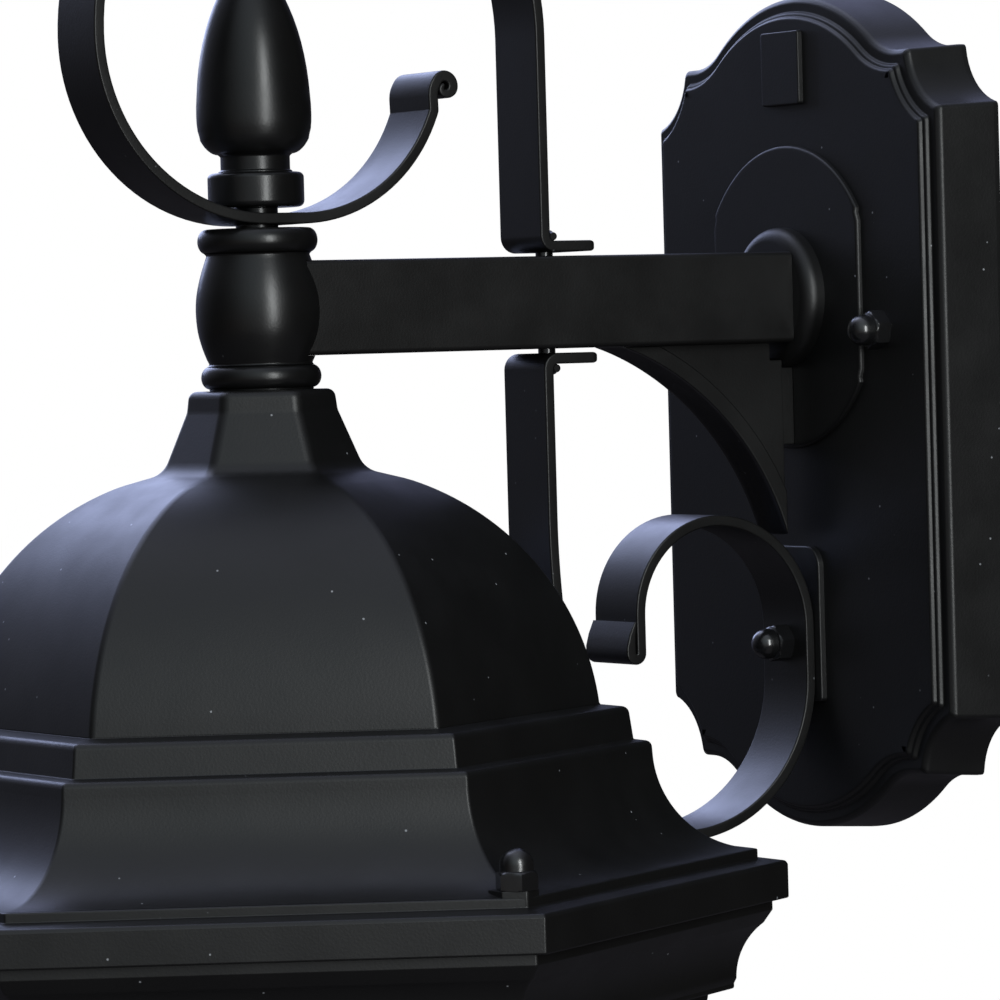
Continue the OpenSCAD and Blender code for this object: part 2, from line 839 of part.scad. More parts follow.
module lock_nut() {
    color([0.7, 0.7, 0.72])
        on_spindle(inner_top - washer_t - lock_nut_h)
            difference() {
                cylinder(h = lock_nut_h, r = lock_nut_r, $fn = hex_sides);
                translate([0, 0, -cut])
                    cylinder(h = lock_nut_h + 2 * cut, r = nipple_r + thread_gap);
            }
}

ledge_in = 0.8;
dome_lip = 1.6;
band_draft = 1.2;
neck_share = 0.3;
skirt_share = 0.22;
flare_in_from = 185;
flare_in_to = 260;
flare_end = 268;
dome_head_r = roof_collar_foot_r + dome_lip;
band_top_r = band_r - band_draft;
flare_c = [ledge_r + flare_r, flare_top - flare_top_h];

// The dome from its collar to its foot, w inside the outer face
function dome_arc(w, n) =
    let (p = [dome_head_r, dome_top], q = [dome_r, band_top],
        c = arc_centre(p, q, dome_curve_r),
        a = w > 0 ? asin((inner_top - c[1]) / (dome_curve_r - w)) : aim(c, p))
    arc(c, dome_curve_r - w, a, aim(c, q), n);

roof_outside = concat(
    [[roof_collar_top_r, roof_top], [roof_collar_top_r + ledge_in, roof_top - roof_collar_h * neck_share],
        [roof_collar_foot_r - 2 * ledge_in, dome_top + roof_collar_h * skirt_share],
        [roof_collar_foot_r, dome_top + ledge_in]],
    dome_arc(0, long_arc),
    [[band_top_r, band_top - edge_fall], [band_r, flare_top + edge_fall / 2]],
    [[ledge_r - ledge_in / 4, flare_top]],
    arc(flare_c, flare_r, 180, flare_end, 2 * short_arc),
    [[step_r, flare_foot - ledge_in / 4], [step_r, rim_top + edge_fall],
        [roof_r - ledge_in / 2, rim_top], [roof_r, rim_top - edge_fall], [roof_r, roof_foot]]);

roof_inside = concat(
    dome_arc(roof_wall, long_arc),
    [[dome_r - roof_wall, band_top - roof_wall], [band_r - roof_wall, band_top - roof_wall],
        [band_r - roof_wall, flare_top - roof_wall]],
    arc(flare_c, flare_r + roof_wall, flare_in_from, flare_in_to, 2 * short_arc),
    [[roof_r - roof_wall, rim_top - roof_wall], [roof_r - roof_wall, roof_foot - cut]]);

boss_w = 11;
boss_rise = 1.6;
boss_top = flare_foot + boss_rise;
stud_corners = [0, 120, 240];

// Places a child on each corner that has a stud
module on_stud_corners(z) {
    for (turn = stud_corners)
        on_spindle(z)
            rotate([0, 0, turn])
                translate([roof_stud_at, 0, 0])
                    children();
}

module roof() {
    color([0.1, 0.1, 0.11])
        difference() {
            union() {
                difference() {
                    on_spindle()
                        six_sided(roof_outside);
                    on_spindle()
                        six_sided(roof_inside);
                }
                intersection() {
                    on_stud_corners(roof_foot)
                        translate([0, 0, (boss_top - roof_foot) / 2])
                            cube([boss_w, boss_w, boss_top - roof_foot], center = true);
                    on_spindle()
                        six_sided([[step_r, boss_top], [step_r, rim_top - cut / 2],
                            [roof_r - cut / 2, rim_top - cut / 2], [roof_r - cut / 2, roof_foot]]);
                }
            }
            on_spindle(inner_top - cut)
                cylinder(h = roof_top - inner_top + 2 * cut, r = nipple_r + thread_gap);
            on_stud_corners(roof_foot - cut)
                cylinder(h = boss_top - roof_foot + 2 * cut, r = stud_r + thread_gap);
            on_stud_corners(boss_top)
                cylinder(h = nut_hex_h, r = nut_corner_r + face_gap);
        }
}

stud_in_cage = 7;

module roof_studs() {
    color([0.1, 0.1, 0.11])
        on_stud_corners(roof_foot - stud_in_cage)
            cylinder(h = boss_top - roof_foot + stud_in_cage + nut_thread, r = stud_r);
}

module roof_cap_nuts() {
    color([0.1, 0.1, 0.11])
        on_stud_corners(boss_top)
            cap_nut();
}

// Cage

frame_gap = 0.15;
cavetto_end = 125;
cavetto_c = [cage_top_r + cavetto_r - mould_depth, mould_foot + mould_step * 2];
lean_cage = atan2((post_top_r - post_foot_r) * cos(180 / hex_sides), post_h);

cage_outside = concat(
    [[cage_top_r, roof_foot], [cage_top_r, roof_foot - mould_lip_h]],
    back(arc(cavetto_c, cavetto_r, 180, cavetto_end, 2 * short_arc)),
    [[cavetto_c[0] - cavetto_r - mould_step / 2, cavetto_c[1] - mould_step],
        [cavetto_c[0] - cavetto_r - mould_step / 2, mould_foot],
        [post_top_r, mould_foot], [post_foot_r, cage_foot]]);

corner_wall = cage_wall / cos(180 / hex_sides);
lip_r = post_foot_r - corner_wall - foot_ledge_w / cos(180 / hex_sides);
lip_h = 5;

// Corner radius of the posts' outer and inner faces at a height
function outside_r(z) =
    post_foot_r + (post_top_r - post_foot_r) * (z - cage_foot) / (mould_foot - cage_foot);
function inside_r(z) = outside_r(z) - corner_wall;

cage_inside = [[inside_r(roof_foot + cut), roof_foot + cut],
    [inside_r(cage_foot + lip_h), cage_foot + lip_h],
    [lip_r, cage_foot + lip_h], [lip_r, cage_foot - cut]];

// Distance from the axis to the middle of a face whose corners lie at r
function flat(r) = r * cos(180 / hex_sides);

// Places a child on the cage's inner face number k: x across, y into the room's side, z up it
module on_face(k) {
    on_spindle(cage_foot)
        rotate([0, 0, 360 / hex_sides * k])
            translate([0, -flat(inside_r(cage_foot)), 0])
                rotate([lean_cage, 0, 0])
                    children();
}

face_len = (mould_foot - cage_foot) / cos(lean_cage);

// Half the width of an inner face at a height along it, less d
function face_half(z, d) = inside_r(cage_foot + z * cos(lean_cage)) / 2 - d;

// A four-sided sheet on a face, from height a to height b, d inside its corners
module face_sheet(a, b, d, t) {
    rotate([90, 0, 0])
        linear_extrude(t)
            polygon([[-face_half(a, d), a], [face_half(a, d), a],
                [face_half(b, d), b], [-face_half(b, d), b]]);
}

module cage_frame() {
    color([0.1, 0.1, 0.11])
        difference() {
            on_spindle()
                six_sided(cage_outside);
            on_spindle()
                six_sided(cage_inside);
            for (k = [0:hex_sides - 1])
                on_face(k)
                    translate([0, cut, 0])
                        face_sheet(rail_foot_h, face_len - rail_top_h, post_w, 4 * cage_wall);
            on_stud_corners(roof_foot - stud_in_cage - cut)
                cylinder(h = stud_in_cage + 2 * cut, r = stud_r + thread_gap);
            pan_screw_holes();
            for (k = [0:hex_sides - 1])
                on_face(k)
                    clip_places()
                        rotate([90, 0, 0])
                            cylinder(h = clip_screw_in, r = clip_screw_r + thread_gap);
        }
}

pane_foot = rail_foot_h - glass_lap;
pane_head = face_len - rail_top_h + glass_lap;

module glass_pane(k) {
    color([0.85, 0.9, 0.92, 0.4])
        on_face(k)
            translate([0, glass_t + frame_gap, 0])
                face_sheet(pane_foot, pane_head, post_w - glass_lap, glass_t);
}

clip_t = 0.8;
clip_w = 9;
clip_screw_r = 1.5;
clip_screw_in = 2.5;
clip_head_r = 3;
clip_head_h = 1.6;
clip_over = 4.5;
clip_up = clip_head_r + 2 * clip_t + 3 * face_gap;

// Each face has one clip above its glass, where the frame is solid
module clip_places() {
    translate([0, 0, pane_head + clip_up])
        children();
}

// A bent clip: a leg on the frame, and a tongue that steps over the glass
module pane_clips() {
    step = glass_t + frame_gap;
    color([0.7, 0.7, 0.72])
        for (k = [0:hex_sides - 1])
            on_face(k)
                clip_places()
                    difference() {
                        rotate([90, 0, 90])
                            linear_extrude(clip_w, center = true)
                                polygon([[0, clip_head_r], [clip_t, clip_head_r],
                                    [clip_t, clip_t - clip_up + face_gap + clip_t],
                                    [step + clip_t, clip_t - clip_up + face_gap + clip_t],
                                    [step + clip_t, -clip_up - clip_over],
                                    [step, -clip_up - clip_over],
                                    [step, clip_t - clip_up + face_gap],
                                    [0, clip_t - clip_up + face_gap]]);
                        translate([0, step + cut, 0])
                            rotate([90, 0, 0])
                                cylinder(h = step + 2 * cut, r = clip_screw_r + thread_gap);
                    }
}

module clip_screws() {
    color([0.7, 0.7, 0.72])
        for (k = [0:hex_sides - 1])
            on_face(k)
                clip_places()
                    translate([0, clip_t, 0])
                        rotate([90, 0, 0]) {
                            cylinder(h = clip_t + clip_screw_in - face_gap, r = clip_screw_r);
                            translate([0, 0, -clip_head_h])
                                cylinder(h = clip_head_h, r = clip_head_r);
                        }
}

// Cage foot

pan_wall = 2.5;
pan_edge = 1.5;
pan_screw_r = 2;
pan_screw_turns = [30, 150, 270];
pan_screw_in = 4;
pan_head_r = 3.6;
pan_head_h = 2;
pan_hole_gap = 0.2;
pan_screw_at = flat(post_foot_r) - (cage_wall + foot_ledge_w) / 2;

// Places a child on each of the screws that hold the bottom pan
module on_pan_screws(z) {
    for (turn = pan_screw_turns)
        on_spindle(z)
            rotate([0, 0, turn])
                translate([pan_screw_at, 0, 0])
                    children();
}

module pan_screw_holes() {
    on_pan_screws(cage_foot - cut)
        cylinder(h = pan_screw_in + cut, r = pan_screw_r + thread_gap);
}

module bottom_pan() {
    color([0.1, 0.1, 0.11])
        difference() {
            on_spindle()
                six_sided([[pan_r - pan_edge, cage_foot], [pan_r, cage_foot - pan_edge],
                    [pan_r, pan_foot + pan_h / 2], [pan_r - pan_h / 2, pan_foot],
                    [pan_step_r + pan_edge, pan_foot], [pan_step_r, pan_foot - pan_edge],
                    [pan_step_r - pan_step_h / 2, step_foot]]);
            on_spindle()
                six_sided([[pan_step_r - pan_wall, cage_foot + cut],
                    [pan_step_r - pan_wall, step_foot + pan_wall + pan_step_h / 2],
                    [pan_step_r - pan_wall - pan_step_h / 2, step_foot + pan_wall]]);
            on_pan_screws(pan_foot - cut)
                cylinder(h = pan_h + 2 * cut, r = pan_screw_r + pan_hole_gap);
            on_spindle(step_foot - cut)
                cylinder(h = pan_wall + 2 * cut, r = stud_r + thread_gap);
        }
}

module pan_screws() {
    color([0.15, 0.15, 0.16])
        on_pan_screws(pan_foot) {
            cylinder(h = pan_h + pan_screw_in - face_gap, r = pan_screw_r);
            translate([0, 0, -pan_head_h])
                cylinder(h = pan_head_h, r = pan_head_r);
        }
}

drop_thread = 14;
small_nut_h = 4;
drop_shares = [[0, 0.62], [0.06, 0.7], [0.12, 0.62], [0.16, 0.42], [0.24, 0.42], [0.3, 0.62],
    [0.38, 0.86], [0.48, 1], [0.58, 0.97], [0.7, 0.78], [0.82, 0.5], [0.92, 0.27]];

module bottom_finial() {
    color([0.08, 0.08, 0.09])
        difference() {
            turned(concat([[0, step_foot]],
                [for (p = drop_shares) [drop_r * p[1], step_foot - drop_h * p[0]]],
                [[0, step_foot - drop_h]]));
            on_spindle(step_foot - drop_thread)
                cylinder(h = drop_thread + cut, r = stud_r + thread_gap);
        }
}

module finial_stud() {
    color([0.7, 0.7, 0.72])
        on_spindle(step_foot - drop_thread + face_gap)
            cylinder(h = drop_thread + pan_wall + small_nut_h + cut, r = stud_r);
}

module finial_nut() {
    color([0.7, 0.7, 0.72])
        on_spindle(step_foot + pan_wall)
            difference() {
                cylinder(h = small_nut_h, r = nut_flats / 2, $fn = hex_sides);
                translate([0, 0, -cut])
                    cylinder(h = small_nut_h + 2 * cut, r = stud_r + thread_gap);
            }
}

// Lamp

cup_wall = 1.2;
tube_end = 6;
cup_top = tube_foot + tube_end;
socket_gap_r = 0.3;
socket_wall = 3.2;
shell_wall = 0.6;
shell_h = 24;
contact_r = 4;
contact_h = 2;
socket_top = cup_top - cup_wall;
well_top = socket_top - socket_crown_h;
bulb_top = well_top - contact_h;

// A round cup, open below, screwed on the threaded tube
module socket_cup() {
    round_r = cup_wall * 4;
    color([0.12, 0.12, 0.13])
        difference() {
            turned(concat([[0, cup_top - cup_h], [cup_r, cup_top - cup_h]],
                arc([cup_r - round_r, cup_top - round_r], round_r, 0, 90, short_arc),
                [[0, cup_top]]));
            on_spindle(cup_top - cup_h - cut)
                cylinder(h = cup_h - cup_wall + cut, r = socket_r + socket_gap_r);
            on_spindle(cup_top - cup_wall - cut)
                cylinder(h = cup_wall + 2 * cut, r = nipple_r + thread_gap);
        }
}

// Porcelain body with the well for the screw shell
module lamp_socket() {
    color([0.92, 0.91, 0.87])
        on_spindle(socket_top - socket_h)
            difference() {
                cylinder(h = socket_h, r = socket_r);
                translate([0, 0, -cut])
                    cylinder(h = socket_h - (socket_top - well_top) + cut,
                        r = shell_r + shell_wall + face_gap);
                translate([0, 0, socket_h - tube_end])
                    cylinder(h = tube_end + cut, r = nipple_r + socket_gap_r);
            }
}

module socket_shell() {
    color([0.75, 0.65, 0.4])
        on_spindle(well_top - shell_h)
            difference() {
                cylinder(h = shell_h, r = shell_r + shell_wall);
                translate([0, 0, -cut])
                    cylinder(h = shell_h + 2 * cut, r = shell_r + face_gap);
            }
}

module centre_contact() {
    color([0.8, 0.6, 0.35])
        on_spindle(bulb_top)
            cylinder(h = contact_h, r = contact_r);
}

// The bulb's outline below its screw shell: share of its length, share of its radius
bulb_shares = [[0.2, 0.55], [0.36, 0.76], [0.5, 0.93]];
cap_in = 3.2;
collar_out = 0.3;
ball_from = 8;

// The bulb's screw cap, neck and round envelope as one closed body
module bulb() {
    neck = bulb_top - screw_h;
    low = neck - bulb_h;
    ball = [0, low + bulb_r];
    color([0.95, 0.94, 0.88])
        turned(concat([[0, bulb_top], [contact_r, bulb_top], [shell_r - cap_in, bulb_top - contact_h],
            [shell_r, bulb_top - 2 * contact_h], [shell_r, neck],
            [shell_r + collar_out, neck - contact_h]],
            [for (p = bulb_shares) [bulb_r * p[1], neck - bulb_h * p[0]]],
            arc(ball, bulb_r, ball_from, -90, 2 * short_arc)));
}

wall_plate();
mounting_strap();
plate_studs();
plate_cap_nuts();
earth_screw();
arm_tube();
arm_gusset();
upper_scroll();
lower_scroll();
foot_rivets();
scroll_stud();
scroll_cap_nut();
finial();
spindle_barrel();
threaded_tube();
lock_nut();
lock_washer();
roof();
roof_studs();
roof_cap_nuts();
cage_frame();
glass_pane(0);  // pane_1
glass_pane(1);  // pane_2
glass_pane(2);  // pane_3
glass_pane(3);  // pane_4
glass_pane(4);  // pane_5
glass_pane(5);  // pane_6
pane_clips();
clip_screws();
bottom_pan();
pan_screws();
bottom_finial();
finial_stud();
finial_nut();
socket_cup();
lamp_socket();
socket_shell();
centre_contact();
bulb();
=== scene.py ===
import math

import bmesh
import bpy
from mathutils import Matrix, Vector


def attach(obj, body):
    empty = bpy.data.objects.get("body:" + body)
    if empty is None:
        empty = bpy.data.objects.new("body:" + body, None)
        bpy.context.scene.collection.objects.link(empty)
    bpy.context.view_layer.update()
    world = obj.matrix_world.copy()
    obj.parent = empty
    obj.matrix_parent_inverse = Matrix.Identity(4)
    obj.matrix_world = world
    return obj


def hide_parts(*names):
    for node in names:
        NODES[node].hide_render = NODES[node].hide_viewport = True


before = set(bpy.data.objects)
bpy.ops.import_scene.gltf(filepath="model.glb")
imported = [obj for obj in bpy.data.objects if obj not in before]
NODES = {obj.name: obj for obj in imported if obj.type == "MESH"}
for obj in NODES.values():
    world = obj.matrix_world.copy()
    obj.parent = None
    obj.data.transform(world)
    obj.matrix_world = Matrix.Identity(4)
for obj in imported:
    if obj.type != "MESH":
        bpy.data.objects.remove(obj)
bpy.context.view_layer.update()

# Driving sizes, in millimetres of the row frame

MM = 0.001
REACH = 193.8    # from the wall to the spindle's axis
PANEL = 22.3     # from the wall to the plate's panel
ARM_Z = 10.0     # height of the arm's centre
PLATE_Z = -23.0  # height of the plate's centre
TUBE = 12.7      # half the width of the arm's square tube
BORE_R = 4.9     # hole for the threaded tube
COS30 = math.cos(math.radians(30))
scene = bpy.context.scene


# Curves in the plane

def arc(cx, cy, r, a0, a1, n):
    """Points from angle a0 to a1, in degrees, in n steps."""
    out = []
    for i in range(n + 1):
        a = math.radians(a0 + (a1 - a0) * i / n)
        out.append((cx + r * math.cos(a), cy + r * math.sin(a)))
    return out


def arc_between(p, q, r, n):
    """Arc of radius r from p to q, clockwise about its centre."""
    mx, my = (p[0] + q[0]) / 2, (p[1] + q[1]) / 2
    h = math.hypot(q[0] - p[0], q[1] - p[1]) / 2
    a = math.atan2(q[1] - p[1], q[0] - p[0]) - math.pi / 2
    k = math.sqrt(max(r * r - h * h, 0))
    cx, cy = mx + k * math.cos(a), my + k * math.sin(a)
    a0 = math.degrees(math.atan2(p[1] - cy, p[0] - cx))
    a1 = math.degrees(math.atan2(q[1] - cy, q[0] - cx))
    if a1 > a0:
        a1 -= 360
    return arc(cx, cy, r, a0, a1, n)


def rounded(points, n=4, closed=False):
    """Rounds the corners of a polyline; each point is (x, y) or (x, y, radius)."""
    out = []
    count = len(points)
    for i, p in enumerate(points):
        r = p[2] if len(p) > 2 else 0
        if r <= 0 or (not closed and i in (0, count - 1)):
            out.append((p[0], p[1]))
            continue
        a = Vector(points[i - 1][:2])
        b = Vector(p[:2])
        c = Vector(points[(i + 1) % count][:2])
        u, v = (a - b), (c - b)
        lu, lv = u.length, v.length
        if lu < 1e-9 or lv < 1e-9:
            out.append((b.x, b.y))
            continue
        u.normalize()
        v.normalize()
        half = math.acos(max(-1, min(1, u.dot(v)))) / 2
        if half < 1e-3 or half > math.pi / 2 - 1e-3:
            out.append((b.x, b.y))
            continue
        cut = min(r / math.tan(half), lu * 0.49, lv * 0.49)
        rr = cut * math.tan(half)
        mid = (u + v).normalized() * (rr / math.sin(half)) + b
        s = b + u * cut - mid
        e = b + v * cut - mid
        a0 = math.atan2(s.y, s.x)
        d = math.atan2(e.y, e.x) - a0
        while d > math.pi:
            d -= 2 * math.pi
        while d < -math.pi:
            d += 2 * math.pi
        for k in range(n + 1):
            t = a0 + d * k / n
            out.append((mid.x + rr * math.cos(t), mid.y + rr * math.sin(t)))
    return out


# Meshes

def make(name, verts, faces, smooth=40):
    """A mesh object in metres from points in millimetres of the row frame."""
    me = bpy.data.meshes.new(name)
    me.from_pydata([(x * MM, y * MM, z * MM) for x, y, z in verts], [], faces)
    me.validate()
    bm = bmesh.new()
    bm.from_mesh(me)
    bmesh.ops.remove_doubles(bm, verts=bm.verts, dist=1e-6)
    bmesh.ops.recalc_face_normals(bm, faces=bm.faces)
    bm.to_mesh(me)
    bm.free()
    for p in me.polygons:
        p.use_smooth = True
    me.set_sharp_from_angle(angle=math.radians(smooth))
    ob = bpy.data.objects.new(name, me)
    scene.collection.objects.link(ob)
    return ob


def apply_modifiers(ob, smooth=None):
    """Makes the modifiers' result the object's own mesh."""
    deps = bpy.context.evaluated_depsgraph_get()
    me = bpy.data.meshes.new_from_object(ob.evaluated_get(deps))
    old = ob.data
    ob.modifiers.clear()
    ob.data = me
    bpy.data.meshes.remove(old)
    if smooth is not None:
        for p in me.polygons:
            p.use_smooth = True
        me.set_sharp_from_angle(angle=math.radians(smooth))
    return ob


def bevel(ob, width, segments=2, angle=30, smooth=40):
    """Rounds every edge sharper than the angle."""
    m = ob.modifiers.new("edge", "BEVEL")
    m.width = width * MM
    m.segments = segments
    m.limit_method = "ANGLE"
    m.angle_limit = math.radians(angle)
    m.use_clamp_overlap = True
    return apply_modifiers(ob, smooth)


def cut_away(ob, cutters):
    """Takes the cutters from the object and removes them."""
    for c in cutters:
        m = ob.modifiers.new("cut", "BOOLEAN")
        m.operation = "DIFFERENCE"
        m.solver = "EXACT"
        m.object = c
    apply_modifiers(ob)
    for c in cutters:
        me = c.data
        bpy.data.objects.remove(c)
        bpy.data.meshes.remove(me)
    return ob


def join(name, parts):
    """One object from several, keeping their meshes and sharp edges."""
    bm = bmesh.new()
    for p in parts:
        bm.from_mesh(p.data)
    me = bpy.data.meshes.new(name)
    bm.to_mesh(me)
    bm.free()
    ob = bpy.data.objects.new(name, me)
    scene.collection.objects.link(ob)
    for p in parts:
        old = p.data
        bpy.data.objects.remove(p)
        bpy.data.meshes.remove(old)
    return ob


def loft(name, rings, caps=(False, False), loop=False, smooth=40):
    """Skin over rings of equal length, each a list of points."""
    n = len(rings[0])
    verts = [v for r in rings for v in r]
    faces = []
    m = len(rings)
    for j in range(m if loop else m - 1):
        k = (j + 1) % m
        for i in range(n):
            i2 = (i + 1) % n
            faces.append((j * n + i, j * n + i2, k * n + i2, k * n + i))
    if caps[0]:
        faces.append(tuple(range(n))[::-1])
    if caps[1]:
        faces.append(tuple((m - 1) * n + i for i in range(n)))
    return make(name, verts, faces, smooth)


def lathe(name, profile, segments=96, at=(0.0, -REACH, ARM_Z), axis="z", smooth=35, loop=False):
    """Turns a profile of (radius, height) about an axis through the point."""
    verts, faces = [], []
    index = []
    for r, h in profile:
        if r < 1e-6:
            index.append([len(verts)])
            verts.append((0.0, 0.0, h))
        else:
            row = []
            for i in range(segments):
                a = 2 * math.pi * i / segments
                row.append(len(verts))
                verts.append((r * math.cos(a), r * math.sin(a), h))
            index.append(row)
    pairs = list(zip(index, index[1:]))
    if loop:
        pairs.append((index[-1], index[0]))
    for a, b in pairs:
        for i in range(segments):
            k = (i + 1) % segments
            if len(a) == 1 and len(b) == 1:
                continue
            if len(a) == 1:
                faces.append((a[0], b[i], b[k]))
            elif len(b) == 1:
                faces.append((a[i], b[0], a[k]))
            else:
                faces.append((a[i], b[i], b[k], a[k]))
    out = []
    for x, y, z in verts:
        if axis == "z":
            out.append((x + at[0], y + at[1], z + at[2]))
        else:
            out.append((x + at[0], -z + at[1], y + at[2]))
    return make(name, out, faces, smooth)


def prism(name, outline, place, h0, h1, smooth=40):
    """A straight solid: outline points mapped by place(x, y, h) between heights h0 and h1."""
    rings = [[place(x, y, h) for x, y in outline] for h in (h0, h1)]
    return loft(name, rings, caps=(True, True), smooth=smooth)


def hex_ring(corner, z, rho, per_side=3, per_corner=5):
    """A hexagon about the spindle, with corners of rounding rho; corner is its radius to +X."""
    f = corner * COS30
    rho = max(min(rho, f * 0.98), 0.01)
    out = []
    side = 2 * (f - rho) * math.tan(math.radians(30))
    for k in range(6):
        base = 60 * k + 30
        ux, uy = math.cos(math.radians(base)), math.sin(math.radians(base))
        tx, ty = -uy, ux
        for i in range(per_side):
            s = (i / per_side - 0.5) * side
            out.append((f * ux + s * tx, f * uy + s * ty))
        cx, cy = (f - rho) * ux + side / 2 * tx, (f - rho) * uy + side / 2 * ty
        for i in range(per_corner):
            a = math.radians(base + 60 * i / per_corner)
            out.append((cx + rho * math.cos(a), cy + rho * math.sin(a)))
    return [(x, y - REACH, z + ARM_Z) for x, y in out]


def even_normals(ob):
    """Lets large flat faces keep flat shading beside their rounded edges."""
    m = ob.modifiers.new("normals", "WEIGHTED_NORMAL")
    m.mode = "FACE_AREA"
    m.weight = 100
    m.keep_sharp = True
    return apply_modifiers(ob)


def dressed(ob, node, material):
    """Gives a piece its material, its CAD node and its place in the table."""
    even_normals(ob)
    ob.data.materials.clear()
    ob.data.materials.append(material)
    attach(ob, "root")
    if node:
        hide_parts(*([node] if isinstance(node, str) else node))
    return ob


# Materials

def nodes_of(name):
    """A new material, its node tree and its shader."""
    m = bpy.data.materials.new(name)
    m.use_nodes = True
    t = m.node_tree
    return m, t, t.nodes["Principled BSDF"]


def ramp(t, source, stops):
    """A colour ramp over the source, as (place, colour)."""
    r = t.nodes.new("ShaderNodeValToRGB")
    while len(r.color_ramp.elements) < len(stops):
        r.color_ramp.elements.new(0.5)
    for e, (pos, col) in zip(r.color_ramp.elements, stops):
        e.position = pos
        e.color = (*col, 1.0) if len(col) == 3 else col
    t.links.new(source, r.inputs[0])
    return r.outputs[0]


def noise(t, coords, scale, detail=3.0, rough=0.55, stretch=None):
    n = t.nodes.new("ShaderNodeTexNoise")
    n.inputs["Scale"].default_value = scale
    n.inputs["Detail"].default_value = detail
    n.inputs["Roughness"].default_value = rough
    if stretch:
        m = t.nodes.new("ShaderNodeMapping")
        m.inputs["Scale"].default_value = stretch
        t.links.new(coords, m.inputs["Vector"])
        coords = m.outputs[0]
    t.links.new(coords, n.inputs["Vector"])
    return n.outputs["Fac"]


def mixed(t, fac, a, b):
    """A mix of a and b, each a socket or a colour."""
    m = t.nodes.new("ShaderNodeMix")
    m.data_type = "RGBA"
    for sock, v in ((m.inputs[0], fac), (m.inputs[6], a), (m.inputs[7], b)):
        if isinstance(v, bpy.types.NodeSocket):
            t.links.new(v, sock)
        elif isinstance(v, (int, float)):
            sock.default_value = v
        else:
            sock.default_value = (*v, 1.0)
    return m.outputs[2]


SPECK_SCALE = 165
DUST = (0.30, 0.31, 0.33)


def coat(name, colour, dusty, rough, grain, spec=0.5, specks=0.0):
    """Black powder coat: fine orange peel, slow tone changes, and a few pale specks of dust."""
    m, t, b = nodes_of(name)
    c = t.nodes.new("ShaderNodeTexCoord").outputs["Object"]
    slow = noise(t, c, 18, 3)
    col = mixed(t, slow, colour, dusty)
    if specks:
        v = t.nodes.new("ShaderNodeTexVoronoi")
        v.inputs["Scale"].default_value = SPECK_SCALE
        v.inputs["Randomness"].default_value = 1.0
        t.links.new(c, v.inputs["Vector"])
        pick = t.nodes.new("ShaderNodeSeparateColor")
        t.links.new(v.outputs["Color"], pick.inputs[0])
        rare = ramp(t, pick.outputs[0], [(0.66, (0, 0, 0)), (0.68, (1, 1, 1))])
        dot = ramp(t, v.outputs["Distance"], [(0.0, (1, 1, 1)), (0.035, (1, 1, 1)), (0.06, (0, 0, 0))])
        both = t.nodes.new("ShaderNodeMix")
        both.data_type = "RGBA"
        both.blend_type = "MULTIPLY"
        both.inputs[0].default_value = 1.0
        t.links.new(rare, both.inputs[6])
        t.links.new(dot, both.inputs[7])
        some = t.nodes.new("ShaderNodeMath")
        some.operation = "MULTIPLY"
        some.inputs[1].default_value = specks
        t.links.new(both.outputs[2], some.inputs[0])
        col = mixed(t, some.outputs[0], col, DUST)
    t.links.new(col, b.inputs["Base Color"])
    r = ramp(t, noise(t, c, 55, 4), [(0.3, (rough - 0.05,) * 3), (0.7, (rough + 0.05,) * 3)])
    t.links.new(r, b.inputs["Roughness"])
    b.inputs["Specular IOR Level"].default_value = spec
    b.inputs["IOR"].default_value = 1.5
    bump = t.nodes.new("ShaderNodeBump")
    bump.inputs["Strength"].default_value = grain
    bump.inputs["Distance"].default_value = 0.0004
    t.links.new(noise(t, c, 1500, 2, 0.5), bump.inputs["Height"])
    t.links.new(bump.outputs[0], b.inputs["Normal"])
    return m


def metal(name, colour, dark, rough, brushed):
    """Bare or plated metal with fine drawn marks and slight stains."""
    m, t, b = nodes_of(name)
    c = t.nodes.new("ShaderNodeTexCoord").outputs["Object"]
    col = mixed(t, noise(t, c, 60, 5), colour, dark)
    t.links.new(col, b.inputs["Base Color"])
    b.inputs["Metallic"].default_value = 1.0
    line = noise(t, c, 700, 2, 0.6, stretch=brushed)
    r = ramp(t, line, [(0.2, (rough - 0.07,) * 3), (0.8, (rough + 0.08,) * 3)])
    t.links.new(r, b.inputs["Roughness"])
    n = t.nodes.new("ShaderNodeBump")
    n.inputs["Strength"].default_value = 0.15
    n.inputs["Distance"].default_value = 0.0002
    t.links.new(line, n.inputs["Height"])
    t.links.new(n.outputs[0], b.inputs["Normal"])
    return m


casting = coat("cast_coat", (0.0050, 0.0050, 0.0050), (0.0066, 0.0066, 0.0066), 0.41, 0.08, specks=1.0)
steel = coat("bar_coat", (0.0056, 0.0054, 0.0052), (0.0074, 0.0072, 0.0070), 0.38, 0.08, specks=0.35)
turned_coat = coat("turned_coat", (0.0052, 0.0052, 0.0052), (0.0068, 0.0068, 0.0068), 0.31, 0.05, specks=0.15)
fastener = coat("fastener_coat", (0.0060, 0.0060, 0.0065), (0.0090, 0.0090, 0.0095), 0.21, 0.05, spec=0.9)
zinc = metal("zinc_plate", (0.62, 0.63, 0.64), (0.50, 0.51, 0.51), 0.34, (1, 1, 6))
brass = metal("brass_sheet", (0.70, 0.53, 0.26), (0.60, 0.44, 0.20), 0.30, (1, 1, 5))
green = coat("green_screw", (0.03, 0.16, 0.05), (0.05, 0.22, 0.07), 0.40, 0.10)


